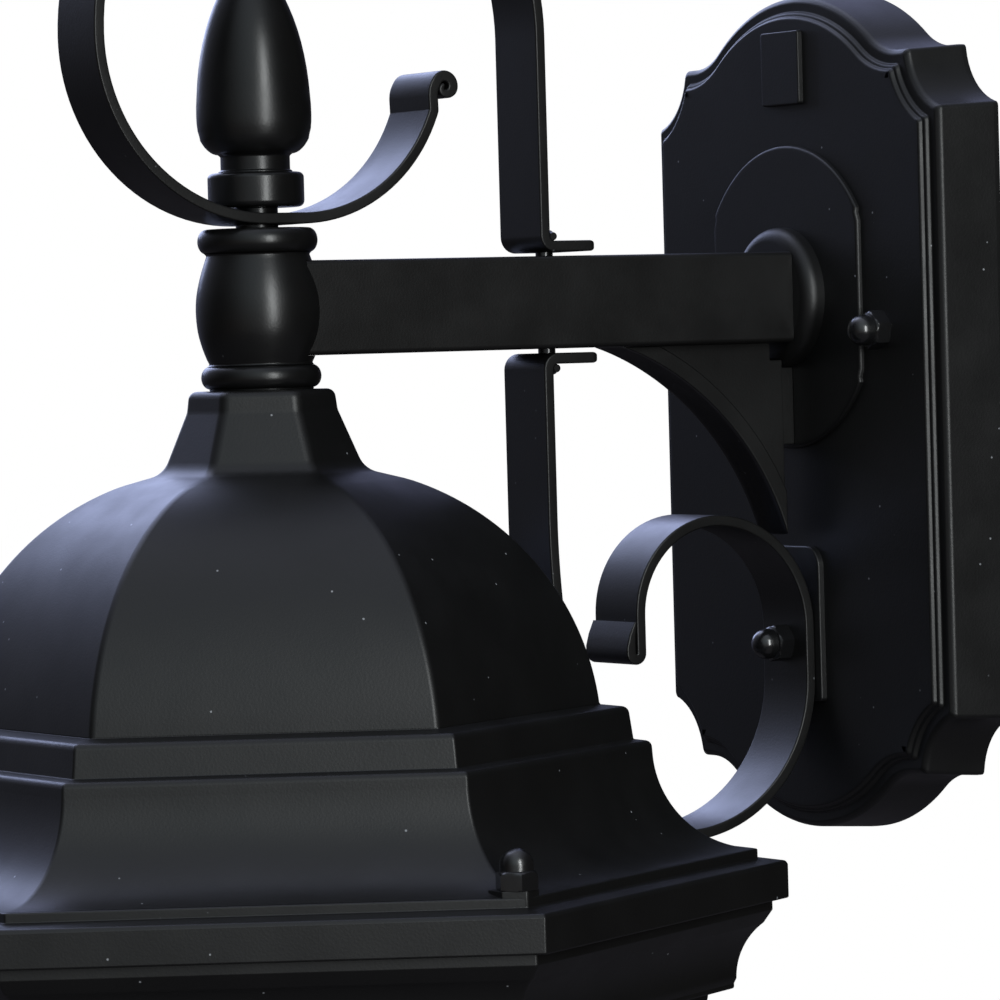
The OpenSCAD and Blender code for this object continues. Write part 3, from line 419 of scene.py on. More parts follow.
def porcelain_material():
    """White glaze with a slight unevenness."""
    m, t, b = nodes_of("porcelain_glaze")
    c = t.nodes.new("ShaderNodeTexCoord").outputs["Object"]
    col = mixed(t, noise(t, c, 45, 3), (0.84, 0.83, 0.78), (0.78, 0.77, 0.71))
    t.links.new(col, b.inputs["Base Color"])
    b.inputs["Roughness"].default_value = 0.16
    b.inputs["Coat Weight"].default_value = 0.5
    b.inputs["Coat Roughness"].default_value = 0.06
    n = t.nodes.new("ShaderNodeBump")
    n.inputs["Strength"].default_value = 0.12
    n.inputs["Distance"].default_value = 0.0004
    t.links.new(noise(t, c, 160, 2), n.inputs["Height"])
    t.links.new(n.outputs[0], b.inputs["Normal"])
    return m


def glass_material():
    """Clear pane with the slight waves of flat glass."""
    m, t, b = nodes_of("pane_glass")
    c = t.nodes.new("ShaderNodeTexCoord").outputs["Object"]
    b.inputs["Base Color"].default_value = (0.93, 0.96, 0.95, 1)
    b.inputs["Transmission Weight"].default_value = 1.0
    b.inputs["IOR"].default_value = 1.46
    r = ramp(t, noise(t, c, 40, 3), [(0.3, (0.02,) * 3), (0.75, (0.05,) * 3)])
    t.links.new(r, b.inputs["Roughness"])
    n = t.nodes.new("ShaderNodeBump")
    n.inputs["Strength"].default_value = 0.10
    n.inputs["Distance"].default_value = 0.0008
    t.links.new(noise(t, c, 26, 1, 0.4, stretch=(1, 1, 0.35)), n.inputs["Height"])
    t.links.new(n.outputs[0], b.inputs["Normal"])
    return m


def bulb_material():
    """Frosted glass of an unlit bulb."""
    m, t, b = nodes_of("bulb_frost")
    c = t.nodes.new("ShaderNodeTexCoord").outputs["Object"]
    col = mixed(t, noise(t, c, 30, 2), (0.90, 0.89, 0.85), (0.84, 0.83, 0.79))
    t.links.new(col, b.inputs["Base Color"])
    b.inputs["Roughness"].default_value = 0.35
    b.inputs["Coat Weight"].default_value = 0.3
    b.inputs["Coat Roughness"].default_value = 0.12
    b.inputs["Subsurface Weight"].default_value = 0.2
    b.inputs["Subsurface Radius"].default_value = (0.01, 0.01, 0.01)
    n = t.nodes.new("ShaderNodeBump")
    n.inputs["Strength"].default_value = 0.05
    n.inputs["Distance"].default_value = 0.0002
    t.links.new(noise(t, c, 500, 2), n.inputs["Height"])
    t.links.new(n.outputs[0], b.inputs["Normal"])
    return m


porcelain = porcelain_material()
pane_glass = glass_material()
frost = bulb_material()


# Roof

barrel_h, ring_h = 29.2, 7.0
roof_top = -barrel_h / 2 - ring_h
dome_top = roof_top - 22
band_top = dome_top - 64.8
flare_top = band_top - 10
flare_foot = flare_top - 2 - 28
rim_top = flare_foot - 2.6 - 0.7
roof_foot = rim_top - 9.6 - 0.7
mould_foot = roof_foot - 24
CAGE_H = 196
cage_foot = mould_foot - CAGE_H
DOME_R = 74.0
BAND_R = 88.5
STEP_R = 102.2
FLARE_R = 28
RIM_R = 137.8
SHELL = 3.0
boss_top = flare_foot + 1.6


def roof_profile():
    """Outside of the roof down to the rim and back up inside, as (corner radius, height, corner rounding)."""
    out = [(BORE_R, roof_top, 4.2)]
    dome = arc_between((28.9, dome_top - 0.2), (BAND_R, band_top + 0.2), DOME_R, 40)
    skip = 4
    collar = rounded([(BORE_R, roof_top), (20.0, roof_top, 2.4), (20.7, roof_top - 5.6, 5.0),
                      (27.5, dome_top + 0.2, 7.0), dome[skip]], 7)
    out += [(r, z, 3.6) for r, z in collar[1:]]
    out += [(r, z, 2.3) for r, z in dome[skip + 1:]]
    lower = rounded([(BAND_R, band_top + 0.3), (BAND_R, band_top, 0.5), (96.0, band_top - 0.9, 2.1),
                     (97.2, flare_top + 0.4, 0.4), (STEP_R - 0.2, flare_top - 0.3, 1.9),
                     (STEP_R + 0.05, flare_top - 3.9)], 6)
    out += [(r, z, 1.1) for r, z in lower]
    flare = arc(STEP_R + FLARE_R, flare_top - 2, FLARE_R, 185, 267, 26)
    out += [(r, z, 1.3) for r, z in flare]
    rim = rounded([(128.6, flare_foot), (129.7, flare_foot - 0.1, 0.5), (129.7, rim_top + 0.7, 0.3),
                   (RIM_R - 0.6, rim_top - 0.2, 1.5), (RIM_R, rim_top - 1.2, 0.4), (RIM_R, roof_foot, 0.6),
                   (RIM_R - 2.9, roof_foot, 0.4), (RIM_R - SHELL, rim_top - 3.0, 1.5)], 4)
    out += [(r, z, 0.9) for r, z in rim[:-1]]
    inner = [(134.5, rim_top - 2.9, 0.8), (124.0, flare_foot - 3.1, 1.0)]
    inner += [(r, z, 1.5) for r, z in arc(STEP_R + FLARE_R, flare_top - 2, FLARE_R + SHELL, 258, 185, 14)]
    inner += [(94.2, flare_top - 3, 1.0), (94.2, band_top - 3, 1.0), (85.8, band_top - 3, 1.5)]
    for i in range(38, 2, -3):
        d = (Vector(dome[i + 1]) - Vector(dome[i - 1])).normalized()
        p = Vector(dome[i]) + Vector((d.y, -d.x)) * SHELL
        if p.y < dome_top - 5.4:
            inner.append((p.x, p.y, 2.0))
    inner += [(21.0, dome_top - 5.0, 2.0), (BORE_R, dome_top - 5.0, 4.2)]
    return out + inner


def build_roof():
    """The hollow casting with a small boss for each of its three studs."""
    rings = [hex_ring(r, z, min(rho, r * 0.86), 4, 6) for r, z, rho in roof_profile()]
    shell = loft("roof_shell", rings, loop=True, smooth=32)
    parts = [shell]
    for turn in (0, 120, 240):
        m = Matrix.Translation((0, -REACH, ARM_Z)) @ Matrix.Rotation(math.radians(turn), 4, "Z")
        outline = rounded([(119.2, -5.5, 0.8), (126.2, -5.5, 0.5), (129.55, -0.3, 0.6), (129.55, 0.3, 0.6),
                           (126.2, 5.5, 0.5), (119.2, 5.5, 0.8)], 3, closed=True)

        def place(x, y, h, m=m):
            v = m @ Vector((x, y, h))
            return (v.x, v.y, v.z)
        b = prism("boss", outline, place, flare_foot - 2.5, boss_top)
        parts.append(bevel(b, 0.35, 2, 40))
    return join("roof_casting", parts)


dressed(build_roof(), "roof", casting)


# Cap nuts

def cap_nut(name, m):
    """Acorn nut: hexagonal foot with chamfered corners and a polished dome, base at the origin of m."""
    flat, hex_h, top = 4.8, 4.6, 10.5
    rings = []
    seg = 48
    corner = flat / COS30

    def hexr(a):
        k = (math.degrees(a) % 60) - 30
        return flat / math.cos(math.radians(k))
    prof = [("hex", 0.0, 0.94), ("hex", 0.35, 1.0), ("hex", hex_h - 0.9, 1.0)]
    for _, h, lim in prof:
        ring = []
        for i in range(seg):
            a = 2 * math.pi * i / seg
            r = min(hexr(a), corner * lim)
            ring.append((r * math.cos(a), r * math.sin(a), h))
        rings.append(ring)
    dome = rounded([(corner * 0.93, hex_h - 0.35), (4.75, hex_h, 0.3), (4.3, hex_h + 0.25, 0.3)], 2)
    dome += [(4.3 * math.cos(math.radians(a)), top - 4.3 + 4.3 * math.sin(math.radians(a)))
             for a in range(0, 90, 7)]
    for r, h in dome:
        ring = []
        for i in range(seg):
            a = 2 * math.pi * i / seg
            rr = min(r, hexr(a)) if h <= hex_h - 0.1 else r
            ring.append((rr * math.cos(a), rr * math.sin(a), h))
        rings.append(ring)
    n = len(rings)
    verts = [v for r in rings for v in r] + [(0, 0, top), (0, 0, 0)]
    faces = []
    for j in range(n - 1):
        for i in range(seg):
            k = (i + 1) % seg
            faces.append((j * seg + i, j * seg + k, (j + 1) * seg + k, (j + 1) * seg + i))
    for i in range(seg):
        k = (i + 1) % seg
        faces.append(((n - 1) * seg + i, (n - 1) * seg + k, n * seg))
        faces.append((k, i, n * seg + 1))
    out = [m @ Vector(v) for v in verts]
    return make(name, [(v.x, v.y, v.z) for v in out], faces, 28)


TO_ROOM = Matrix.Rotation(math.radians(90), 4, "X")
nuts = []
for turn in (0, 120, 240):
    m = Matrix.Translation((0, -REACH, ARM_Z)) @ Matrix.Rotation(math.radians(turn), 4, "Z") \
        @ Matrix.Translation((124.6, 0, boss_top)) @ Matrix.Rotation(math.radians(-18), 4, "Z")
    nuts.append(cap_nut("nut", m))
dressed(join("roof_nuts", nuts), "roof_cap_nuts", fastener)
STUD_X = 44.45
nuts = []
for side in (-1, 1):
    m = Matrix.Translation((side * STUD_X, -PANEL, 0)) @ TO_ROOM @ Matrix.Rotation(0.35 * side, 4, "Z")
    nuts.append(cap_nut("nut", m))
dressed(join("plate_nuts", nuts), "plate_cap_nuts", fastener)
nut_at = Matrix.Translation((0, -PANEL - 4.8, ARM_Z - 98)) @ TO_ROOM @ Matrix.Rotation(0.2, 4, "Z")
dressed(cap_nut("scroll_nut", nut_at), "scroll_cap_nut", fastener)


# Wall plate

ARCH_R, OGEE_R, COVE_R, SWEEP, CORNER = 63.0, 20.0, 18.0, 38.0, 1.4
PLATE_W, PLATE_H = 142.6, 238.0


def plate_quarter(d):
    """A quarter of the outline from the top centre to the side, d further in."""
    ay = PLATE_H / 2 - ARCH_R
    ox = (ARCH_R + OGEE_R) * math.sin(math.radians(SWEEP))
    oy = ay + (ARCH_R + OGEE_R) * math.cos(math.radians(SWEEP))
    shelf = oy - OGEE_R - d
    cx, cy = PLATE_W / 2 * 1.0522, oy - OGEE_R + 0.9
    side = PLATE_W / 2 - d
    r = COVE_R + d
    top, far = shelf - CORNER, side - CORNER
    sx = cx - math.sqrt(r * r - (top - cy) ** 2)
    ey = cy - math.sqrt(r * r - (far - cx) ** 2)
    a0 = math.degrees(math.atan2(top - cy, sx - cx)) % 360
    a1 = math.degrees(math.atan2(ey - cy, far - cx)) % 360
    out = arc(0, ay, ARCH_R - d, 90, 90 - SWEEP, 18)
    out += arc(ox, oy, OGEE_R + d, 270 - SWEEP, 270, 12)[1:]
    out += arc(sx - CORNER, top, CORNER, 90, 0, 4)
    out += arc(cx, cy, r, a0, a1, 10)[1:]
    out += arc(far, ey - CORNER, CORNER, 90, 0, 4)[1:]
    return out


def plate_outline(d):
    """The whole outline, d further in."""
    q = plate_quarter(d)
    out = list(q)
    out += [(x, -y) for x, y in reversed(q)][:-1]
    out += [(-x, -y) for x, y in q]
    out += [(-x, y) for x, y in reversed(q)][1:-1]
    seen = []
    for p in out:
        if not seen or math.hypot(p[0] - seen[-1][0], p[1] - seen[-1][1]) > 1e-7:
            seen.append(p)
    return seen


def plate_place(x, y, h):
    """A point of the outline at distance h from the wall."""
    return (x, -h, y + PLATE_Z)


def build_plate():
    """The hollow plate with its moulded edge, its three raised pads and the boss round the arm."""
    rim = PANEL - 2.5
    moulding = rounded([(0.0, 0.0), (0.0, 1.6, 0.4), (1.2, rim - 1.1, 1.9), (2.6, rim, 1.2),
                        (5.2, rim - 0.1, 0.5), (5.7, rim + 1.1, 0.7), (6.5, rim + 1.25, 0.35),
                        (7.0, PANEL, 0.8), (9.0, PANEL)], 4)
    rings = [[plate_place(x, y, h) for x, y in plate_outline(d)] for d, h in moulding]
    body = loft("plate_moulding", rings, caps=(False, True), smooth=32)
    hollow = [(0.0, 0.0), (3.2, 0.0), (3.4, rim - 5.0), (4.6, rim - 3.0)]
    rings = [[plate_place(x, y, h) for x, y in plate_outline(d)] for d, h in hollow]
    back = loft("plate_back", rings, caps=(False, True), smooth=32)
    bm = bmesh.new()
    bm.from_mesh(body.data)
    bm.from_mesh(back.data)
    bmesh.ops.remove_doubles(bm, verts=bm.verts, dist=1e-6)
    bmesh.ops.recalc_face_normals(bm, faces=bm.faces)
    bm.to_mesh(body.data)
    bm.free()
    old = back.data
    bpy.data.objects.remove(back)
    bpy.data.meshes.remove(old)
    for p in body.data.polygons:
        p.use_smooth = True
    body.data.set_sharp_from_angle(angle=math.radians(32))

    def pad(name, outline, top, edge):
        rows = rounded([(0, PANEL - 0.5), (0.12, PANEL + top, edge), (edge * 2.2, PANEL + top)], 4)
        rings = [[(x, -h, y) for x, y in inset(outline, d)] for d, h in rows]
        return loft(name, rings, caps=(True, True), smooth=34)

    round_pad = arc(0, 0, 43.0, 90, 34.6, 26) + [(35.1, 22.9), (36.0, 20.6), (36.0, 12.0), (36.0, 0.0)]
    full = list(round_pad)
    full += [(x, -y) for x, y in reversed(round_pad[:-1])]
    full += [(-x, -y) for x, y in round_pad[1:]]
    full += [(-x, y) for x, y in reversed(round_pad[1:-1])]
    full = [(x, y + ARM_Z) for x, y in full]
    parts = [body, pad("round_pad", full, 1.5, 0.9)]
    w, h = 9.4, 10.5
    field = rounded([(-w, -h, 1.0), (w, -h, 1.0), (w, h, 1.0), (-w, h, 1.0)], 3, closed=True)
    parts.append(pad("field", [(x, y + ARM_Z + 64.8) for x, y in field], 1.5, 0.4))
    w, h = 13.5, 22.0
    low = rounded([(-w, -h, 1.2), (w, -h, 1.2), (w, h, 6.0), (-w, h, 6.0)], 6, closed=True)
    parts.append(pad("scroll_pad", [(x, y + ARM_Z - 92.5) for x, y in low], 1.8, 0.5))
    boss = lathe("boss", rounded([(0, -0.5), (19.7, -0.5), (19.7, 7.5, 5.6), (0, 7.5)], 12),
                 96, (0, -PANEL, ARM_Z), "y")
    parts.append(boss)
    return join("wall_plate_casting", parts)


def inset(outline, d):
    """Moves a closed outline inwards by d along its corner bisectors."""
    n = len(outline)
    area = sum(outline[i][0] * outline[(i + 1) % n][1] - outline[(i + 1) % n][0] * outline[i][1]
               for i in range(n))
    sign = 1 if area > 0 else -1
    out = []
    for i in range(n):
        a, b, c = Vector(outline[i - 1]), Vector(outline[i]), Vector(outline[(i + 1) % n])
        e1, e2 = (b - a).normalized(), (c - b).normalized()
        n1 = Vector((-e1.y, e1.x)) * sign
        n2 = Vector((-e2.y, e2.x)) * sign
        m = (n1 + n2)
        k = 1 + n1.dot(n2)
        m = m / max(k, 0.3)
        p = b + m * d
        out.append((p.x, p.y))
    return out


dressed(build_plate(), "wall_plate", casting)


# Arm and gusset

def across(u, z, w):
    """A point at distance u from the spindle, z above the arm's centre and w to the side."""
    return (w, u - REACH, z + ARM_Z)


def build_arm():
    """The square tube, open at both ends."""
    w = TUBE
    outer = rounded([(-w, -w, 1.4), (w, -w, 1.4), (w, w, 1.4), (-w, w, 1.4)], 5, closed=True)
    i = TUBE - 2
    inner = rounded([(-i, -i, 0.6), (i, -i, 0.6), (i, i, 0.6), (-i, i, 0.6)], 5, closed=True)
    u0, u1 = 7.9, 163.95

    def ring(pts, u):
        return [(x, u - REACH, z + ARM_Z) for x, z in pts]
    rings = [ring(outer, u0), ring(outer, u1), ring(inner, u1), ring(inner, u0)]
    return loft("arm_tube_piece", rings, loop=True, smooth=30)


dressed(build_arm(), "arm_tube", steel)


def build_gusset():
    """A web with a wider rim along its curve, and a tongue into the plate's pad."""
    top, boss_u, pad_u = -TUBE, 164.0, 170.0
    foot = (boss_u, top - 54.5)
    start = (boss_u - 54, top)
    notch = [(boss_u - 4, top), (boss_u - 4, top - 5), (boss_u, top - 5)]
    radius, rim = 84.0, 4.6
    curve = arc_between(start, foot, radius, 28)
    a, b = Vector(curve[0]), Vector(curve[-1])
    mid = (a + b) / 2
    away = Vector((b.y - a.y, a.x - b.x)).normalized()
    centre = mid + away * math.sqrt(radius ** 2 - ((b - a).length / 2) ** 2)
    far = radius + rim
    rim_start = (centre.x + math.sqrt(far ** 2 - (top - centre.y) ** 2), top)
    rim_foot = (boss_u, centre.y + math.sqrt(far ** 2 - (boss_u - centre.x) ** 2))
    rim_curve = arc_between(rim_start, rim_foot, far, 28)

    def slab(name, outline, w):
        verts = [across(u, z, -w) for u, z in outline] + [across(u, z, w) for u, z in outline]
        n = len(outline)
        faces = [tuple(range(n)), tuple(reversed(range(n, 2 * n)))]
        faces += [(i, (i + 1) % n, n + (i + 1) % n, n + i) for i in range(n)]
        return make(name, verts, faces)
    web = bevel(slab("web", notch + list(reversed(curve)), 6.4), 0.3, 2, 30, 34)
    edge = bevel(slab("rim", rim_curve + list(reversed(curve)), 7.5), 0.6, 3, 30, 34)
    tongue = [(boss_u - 1, -19.8), (pad_u, -19.8), (pad_u, -41.7), (boss_u - 1, -41.7)]
    verts = [across(u, z, -3) for u, z in tongue] + [across(u, z, 3) for u, z in tongue]
    faces = [(0, 1, 2, 3), (7, 6, 5, 4)] + [(i, (i + 1) % 4, 4 + (i + 1) % 4, 4 + i) for i in range(4)]
    t = bevel(make("tongue", verts, faces), 0.4, 2, 30, 34)
    return join("gusset_piece", [web, edge, t])


dressed(build_gusset(), "arm_gusset", steel)

# Scrolls

BAR_W, BAR_T = 21.8, 3.0
FOOT_NOSE = 1.6
bar_reach, foot_len, foot_gap = 84.0, 17.4, 1.2
seat_z = barrel_h / 2 + ring_h + 0.9


def chain(*runs):
    """Joins runs of points, dropping doubled ones."""
    out = []
    for run in runs:
        for p in run:
            if not out or math.hypot(p[0] - out[-1][0], p[1] - out[-1][1]) > 0.02:
                out.append(p)
    return out


def wander(p, heading, moves):
    """Points reached from p by bends (degrees, radius), positive to the left, and straight runs (0, length)."""
    out = []
    for turn, size in moves:
        steps = max(1, round(abs(turn) / 11))
        for _ in range(steps):
            chord = 2 * size * math.sin(math.radians(abs(turn) / steps / 2)) if turn else size
            heading += turn / steps / 2
            a = math.radians(heading)
            p = (p[0] + chord * math.cos(a), p[1] + chord * math.sin(a))
            heading += turn / steps / 2
            out.append(p)
    return out


def bar(name, path, end_t, growth, edge=0.55):
    """A flat bar along a path of (u, z), with rounded edges, a round foot and a rolled end drawn thin."""
    n = len(path)
    steps = [math.dist(path[i], path[i + 1]) for i in range(n - 1)]
    rings = []
    for i in range(n):
        start, left = sum(steps[:i]), sum(steps[i:])
        nose = min(start / FOOT_NOSE, 1)
        swell = math.sqrt(1 - (1 - nose) ** 2)
        t = BAR_T * (0.4 + 0.6 * swell) if nose < 1 else min(BAR_T, end_t + growth * left)
        w = BAR_W - 2 * FOOT_NOSE * 0.4 * (1 - swell)
        a = Vector(path[max(i - 1, 0)])
        b = Vector(path[min(i + 1, n - 1)])
        d = (b - a).normalized()
        nrm = Vector((-d.y, d.x))
        edge = min(edge, t * 0.4)
        sec = rounded([(-w / 2, -t / 2, edge), (w / 2, -t / 2, edge), (w / 2, t / 2, edge),
                       (-w / 2, t / 2, edge)], 3, closed=True)
        rings.append([across(path[i][0] + nrm.x * o, path[i][1] + nrm.y * o, x) for x, o in sec])
    return loft(name, rings, caps=(True, True), smooth=34)


foot_z = TUBE + foot_gap + BAR_T / 2
loop_low = seat_z + BAR_T / 2
loop_z = 73.0
loop_r = loop_z - loop_low
top_r = (bar_reach + 2.0 + loop_r) / 2
end_r, end_a = 44.0, 338.0
end_c = (8.5, loop_low + end_r)
UPPER_TIP = [(0, 0.8), (24, 1.6), (0, 3.6), (-34, 6.0), (0, 0.9), (-150, 2.7), (-110, 2.1), (-100, 1.2),
             (-50, 0.7)]
LOWER_TIP = [(0, 10.2), (-180, 1.7), (0, 1.5), (-16, 12.0), (0, 3.9)]
foot_end = bar_reach - BAR_T / 2 + foot_len
foot_run = [foot_end - v for v in (0, 0.2, 0.5, 0.9, 1.3, 1.7)]
upper_path = chain(
    [(u, foot_z) for u in foot_run] + [(bar_reach + 4.4, foot_z)],
    arc(bar_reach + 3.0, foot_z + 3.0, 3.0, 270, 180, 7),
    [(bar_reach, z) for z in (30, 45, 60)],
    arc(bar_reach - top_r, loop_z, top_r, 0, 180, 60),
    arc(-2.0, loop_z, loop_r, 180, 270, 28),
    [(3.0, loop_low)],
    arc(end_c[0], end_c[1], end_r, 270, end_a, 22))
upper_path = chain(upper_path, wander(upper_path[-1], end_a + 90, UPPER_TIP))
scroll_u = 171.5 - 1.8 - BAR_T / 2
span = scroll_u - bar_reach
near_r, far_r = span * 0.5, span * 0.42
low_u = scroll_u - near_r
LEAN = 14.0
lean_r = (low_u - far_r * math.cos(math.radians(LEAN)) - bar_reach) / (1 - math.cos(math.radians(LEAN)))
low_z = -149.4
far_z = low_z + far_r
lean_z = far_z - far_r * math.sin(math.radians(LEAN)) + lean_r * math.sin(math.radians(LEAN))
curl_r, curl_end_r = 31.0, 25.5
curl_c = (scroll_u - curl_r, -93.0)
curl_e = (curl_c[0], curl_c[1] + curl_r - curl_end_r)
lower_path = chain(
    [(u, -foot_z) for u in foot_run] + [(bar_reach + 4.4, -foot_z)],
    arc(bar_reach + 3.0, -foot_z - 3.0, 3.0, 90, 180, 7),
    [(bar_reach, z) for z in (-30, -45)],
    arc(bar_reach + lean_r, lean_z, lean_r, 180, 180 + LEAN, 20),
    arc(low_u, far_z, far_r, 180 + LEAN, 270, 24),
    arc(low_u, low_z + near_r, near_r, 270, 360, 28),
    arc(curl_c[0], curl_c[1], curl_r, 0, 90, 22),
    arc(curl_e[0], curl_e[1], curl_end_r, 90, 180, 22))
lower_path = chain(lower_path, wander(lower_path[-1], 270, LOWER_TIP))


def weld(u, z, r):
    """A rough bead of weld across the bar, with waves along it and blunt ends."""
    half = BAR_W / 2 - 0.5
    rings = []
    for i in range(25):
        x = -half + 2 * half * i / 24
        waves = 1 + 0.16 * math.sin(i * 1.9) + 0.08 * math.sin(i * 4.3 + 1)
        k = r * waves * math.sqrt(max(1 - (x / (half + 0.5)) ** 8, 0.02))
        turns = [2 * math.pi * j / 12 for j in range(12)]
        rings.append([across(u + k * math.cos(a), z + k * math.sin(a), x) for a in turns])
    return loft("weld", rings, caps=(True, True), smooth=60)


for name, path, side, end_t, growth in (("upper_scroll", upper_path, 1, 1.3, 0.3),
                                        ("lower_scroll", lower_path, -1, 0.7, 0.35)):
    parts = [bar(name + "_strip", path, end_t, growth),
             weld(bar_reach + BAR_T / 2 + 1.3, side * (foot_z + BAR_T / 2 + 1.2), 1.7)]
    if side > 0:  # the core of the upper roll
        parts.append(weld(upper_path[-8][0] - 0.4, upper_path[-8][1] + 0.2, 1.45))
    dressed(join(name + "_bar", parts), name, steel)


# Turned pieces

def full_bead(r, z, h, n):
    """A bead of greatest radius r from height z to z + h, flatter than a half circle."""
    return [(r - 2.4 * (1 - math.cos(math.radians(a))), z + h / 2 + h / 2 * math.sin(math.radians(a)))
            for a in [-90 + 180 * i / n for i in range(n + 1)]]


def build_finial():
    """A ring on a short foot, and a pointed bud above it; shares are (height, radius) of the bud."""
    foot = seat_z + BAR_T
    collar = foot + 1.7
    waist = collar + 9.3
    bud = waist + 5.0
    lip = 10.1
    pts = [(4.85, foot)] + rounded([(4.85, foot), (5.7, foot), (5.7, collar, 0.3), (12.9, collar, 1.7),
                                    (12.9, waist, 1.7), (9.9, waist, 0.3), (9.9, waist + 0.5, 0.3),
                                    (9.3, waist + 0.6, 0.4), (9.3, bud - 0.6, 0.6), (lip, bud, 0.3)], 6)[1:]
    pts += [(lip + 5.3 * (1 - math.cos(math.radians(a))) * 0.3 + 5.3 * math.sin(math.radians(a)) * 0.7,
             bud + 6.2 * (1 - math.cos(math.radians(a)))) for a in (8, 18, 28, 38, 48, 58, 68)]
    shares = [(0.093, 0.957), (0.12, 0.983), (0.155, 0.996), (0.19, 1.0), (0.24, 0.997), (0.29, 0.985),
              (0.355, 0.968), (0.42, 0.942), (0.485, 0.905), (0.55, 0.858), (0.61, 0.803), (0.67, 0.735),
              (0.725, 0.66), (0.78, 0.575), (0.83, 0.486), (0.87, 0.405), (0.905, 0.325), (0.94, 0.235),
              (0.965, 0.165), (0.985, 0.1), (0.997, 0.04)]
    pts += [(15.4 * b, bud + 54 * a) for a, b in shares]
    pts += [(0, bud + 54)]
    inside = [(0, foot + 30), (4.85, foot + 30)]
    return lathe("finial_turning", inside + pts, 112, smooth=40)


dressed(build_finial(), "finial", turned_coat)


def build_barrel():
    """A bulge between two beads, with a square socket for the arm; share is the bulge's swelling."""
    low, high = -barrel_h / 2, barrel_h / 2
    share = [0, 0.2, 0.37, 0.53, 0.66, 0.78, 0.87, 0.93, 0.97, 0.995, 1, 0.985, 0.95, 0.89, 0.8, 0.7, 0.58,
             0.45, 0.3, 0.15, 0]
    k = len(share) - 1
    pts = [(BORE_R, low - ring_h), (13.9, low - ring_h), (14.0, low - ring_h + 0.5)]
    pts += full_bead(16.1, low - ring_h + 0.5, ring_h - 0.9, 14)
    pts += arc(14.5, low + 0.25, 0.65, 270, 180, 4)
    pts += [(13.8 + 3.25 * s, low + barrel_h * i / k) for i, s in enumerate(share)][1:-1]
    pts += arc(14.5, high - 0.25, 0.65, 180, 90, 4)
    pts += full_bead(16.1, high + 0.4, ring_h - 0.4, 14)
    pts += [(6.0, high + ring_h), (5.7, high + ring_h + 0.15), (5.7, seat_z), (BORE_R, seat_z)]
    body = lathe("barrel_turning", pts, 112, smooth=38, loop=True)
    w = TUBE + 0.02
    verts = [(x, y, z + ARM_Z) for x in (-w, w) for y in (7.8 - REACH, 60 - REACH) for z in (-w, w)]
    faces = [(0, 1, 3, 2), (4, 6, 7, 5), (0, 4, 5, 1), (2, 3, 7, 6), (0, 2, 6, 4), (1, 5, 7, 3)]
    cutter = make("socket_cutter", verts, faces)
    cut_away(body, [cutter])
    for p in body.data.polygons:
        p.use_smooth = True
    body.data.set_sharp_from_angle(angle=math.radians(38))
    return body


dressed(build_barrel(), "spindle_barrel", turned_coat)


# Cage

CAGE_LOW_R, CAGE_TOP_R = 84, 115.8


def lean_out(z):
    """The cage's corner radius at a height."""
    return CAGE_LOW_R + (CAGE_TOP_R - CAGE_LOW_R) * (z - cage_foot) / (mould_foot - cage_foot)


def build_cage():
    """The six-sided frame with its cove moulding, open at top and foot, with a window in each side."""
    cove = 18
    cx, cz = 133.4 + cove - 10.2, mould_foot + 2.8
    cav = arc(cx, cz, cove, 180, 125, 18)
    outer = rounded([(131.0, roof_foot), (133.4, roof_foot, 0.4), (133.4, roof_foot - 3.0, 0.6),
                     (cav[-1][0], cav[-1][1])], 4)
    outer += list(reversed(cav))
    neck = cx - cove - 0.7
    outer += rounded([cav[0], (neck, cz - 1.4, 0.3), (neck, mould_foot, 0.6), (115.9, mould_foot, 0.6),
                      (115.6, mould_foot - 1.2)], 4)[1:]
    outer += [(lean_out(cage_foot + 1.0), cage_foot + 1.0), (83.6, cage_foot)]
    wall = 4 / COS30

    def inner_r(z):
        return lean_out(z) - wall
    lip = CAGE_LOW_R - wall - 4.5 / COS30
    inner = [(lip, cage_foot), (lip, cage_foot + 5), (inner_r(cage_foot + 5), cage_foot + 5),
             (inner_r(mould_foot), mould_foot), (inner_r(roof_foot), roof_foot)]
    rings = [hex_ring(r, z, 1.2 if z > mould_foot - 0.5 else 2.0, 4, 5) for r, z in outer]
    rings += [hex_ring(r, z, 1.0, 4, 5) for r, z in inner]
    shell = loft("cage_shell", rings, loop=True, smooth=32)
    lean = math.atan2((CAGE_TOP_R - CAGE_LOW_R) * COS30, CAGE_H)
    face_len = CAGE_H / math.cos(lean)
    cutters = []
    for k in range(3):
        m = Matrix.Translation((0, -REACH, ARM_Z + cage_foot)) @ Matrix.Rotation(math.radians(60 * k), 4, "Z")

        def face_point(x, h, out, m=m):
            y = -(inner_r(cage_foot) * COS30 + h * math.sin(lean))
            return m @ Vector((x, y + out, h * math.cos(lean)))
        a, b = 13.0, face_len - 9.0
        ha = inner_r(cage_foot + a * math.cos(lean)) / 2 - 9
        hb = inner_r(cage_foot + b * math.cos(lean)) / 2 - 9
        for flip in (0, 180):
            mm = Matrix.Translation((0, -REACH, 0)) @ Matrix.Rotation(math.radians(flip), 4, "Z") \
                @ Matrix.Translation((0, REACH, 0))
            verts = []
            for out in (-9, 9):
                for x, h in ((-ha, a), (ha, a), (hb, b), (-hb, b)):
                    v = mm @ face_point(x, h, out)
                    verts.append((v.x, v.y, v.z))
            faces = [(0, 1, 2, 3), (7, 6, 5, 4)]
            faces += [(i, (i + 1) % 4, 4 + (i + 1) % 4, 4 + i) for i in range(4)]
            cutters.append(make("window", verts, faces))
    cut_away(shell, cutters)
    return bevel(shell, 0.6, 2, 40, 34)


dressed(build_cage(), "cage_frame", casting)


# Foot of the cage

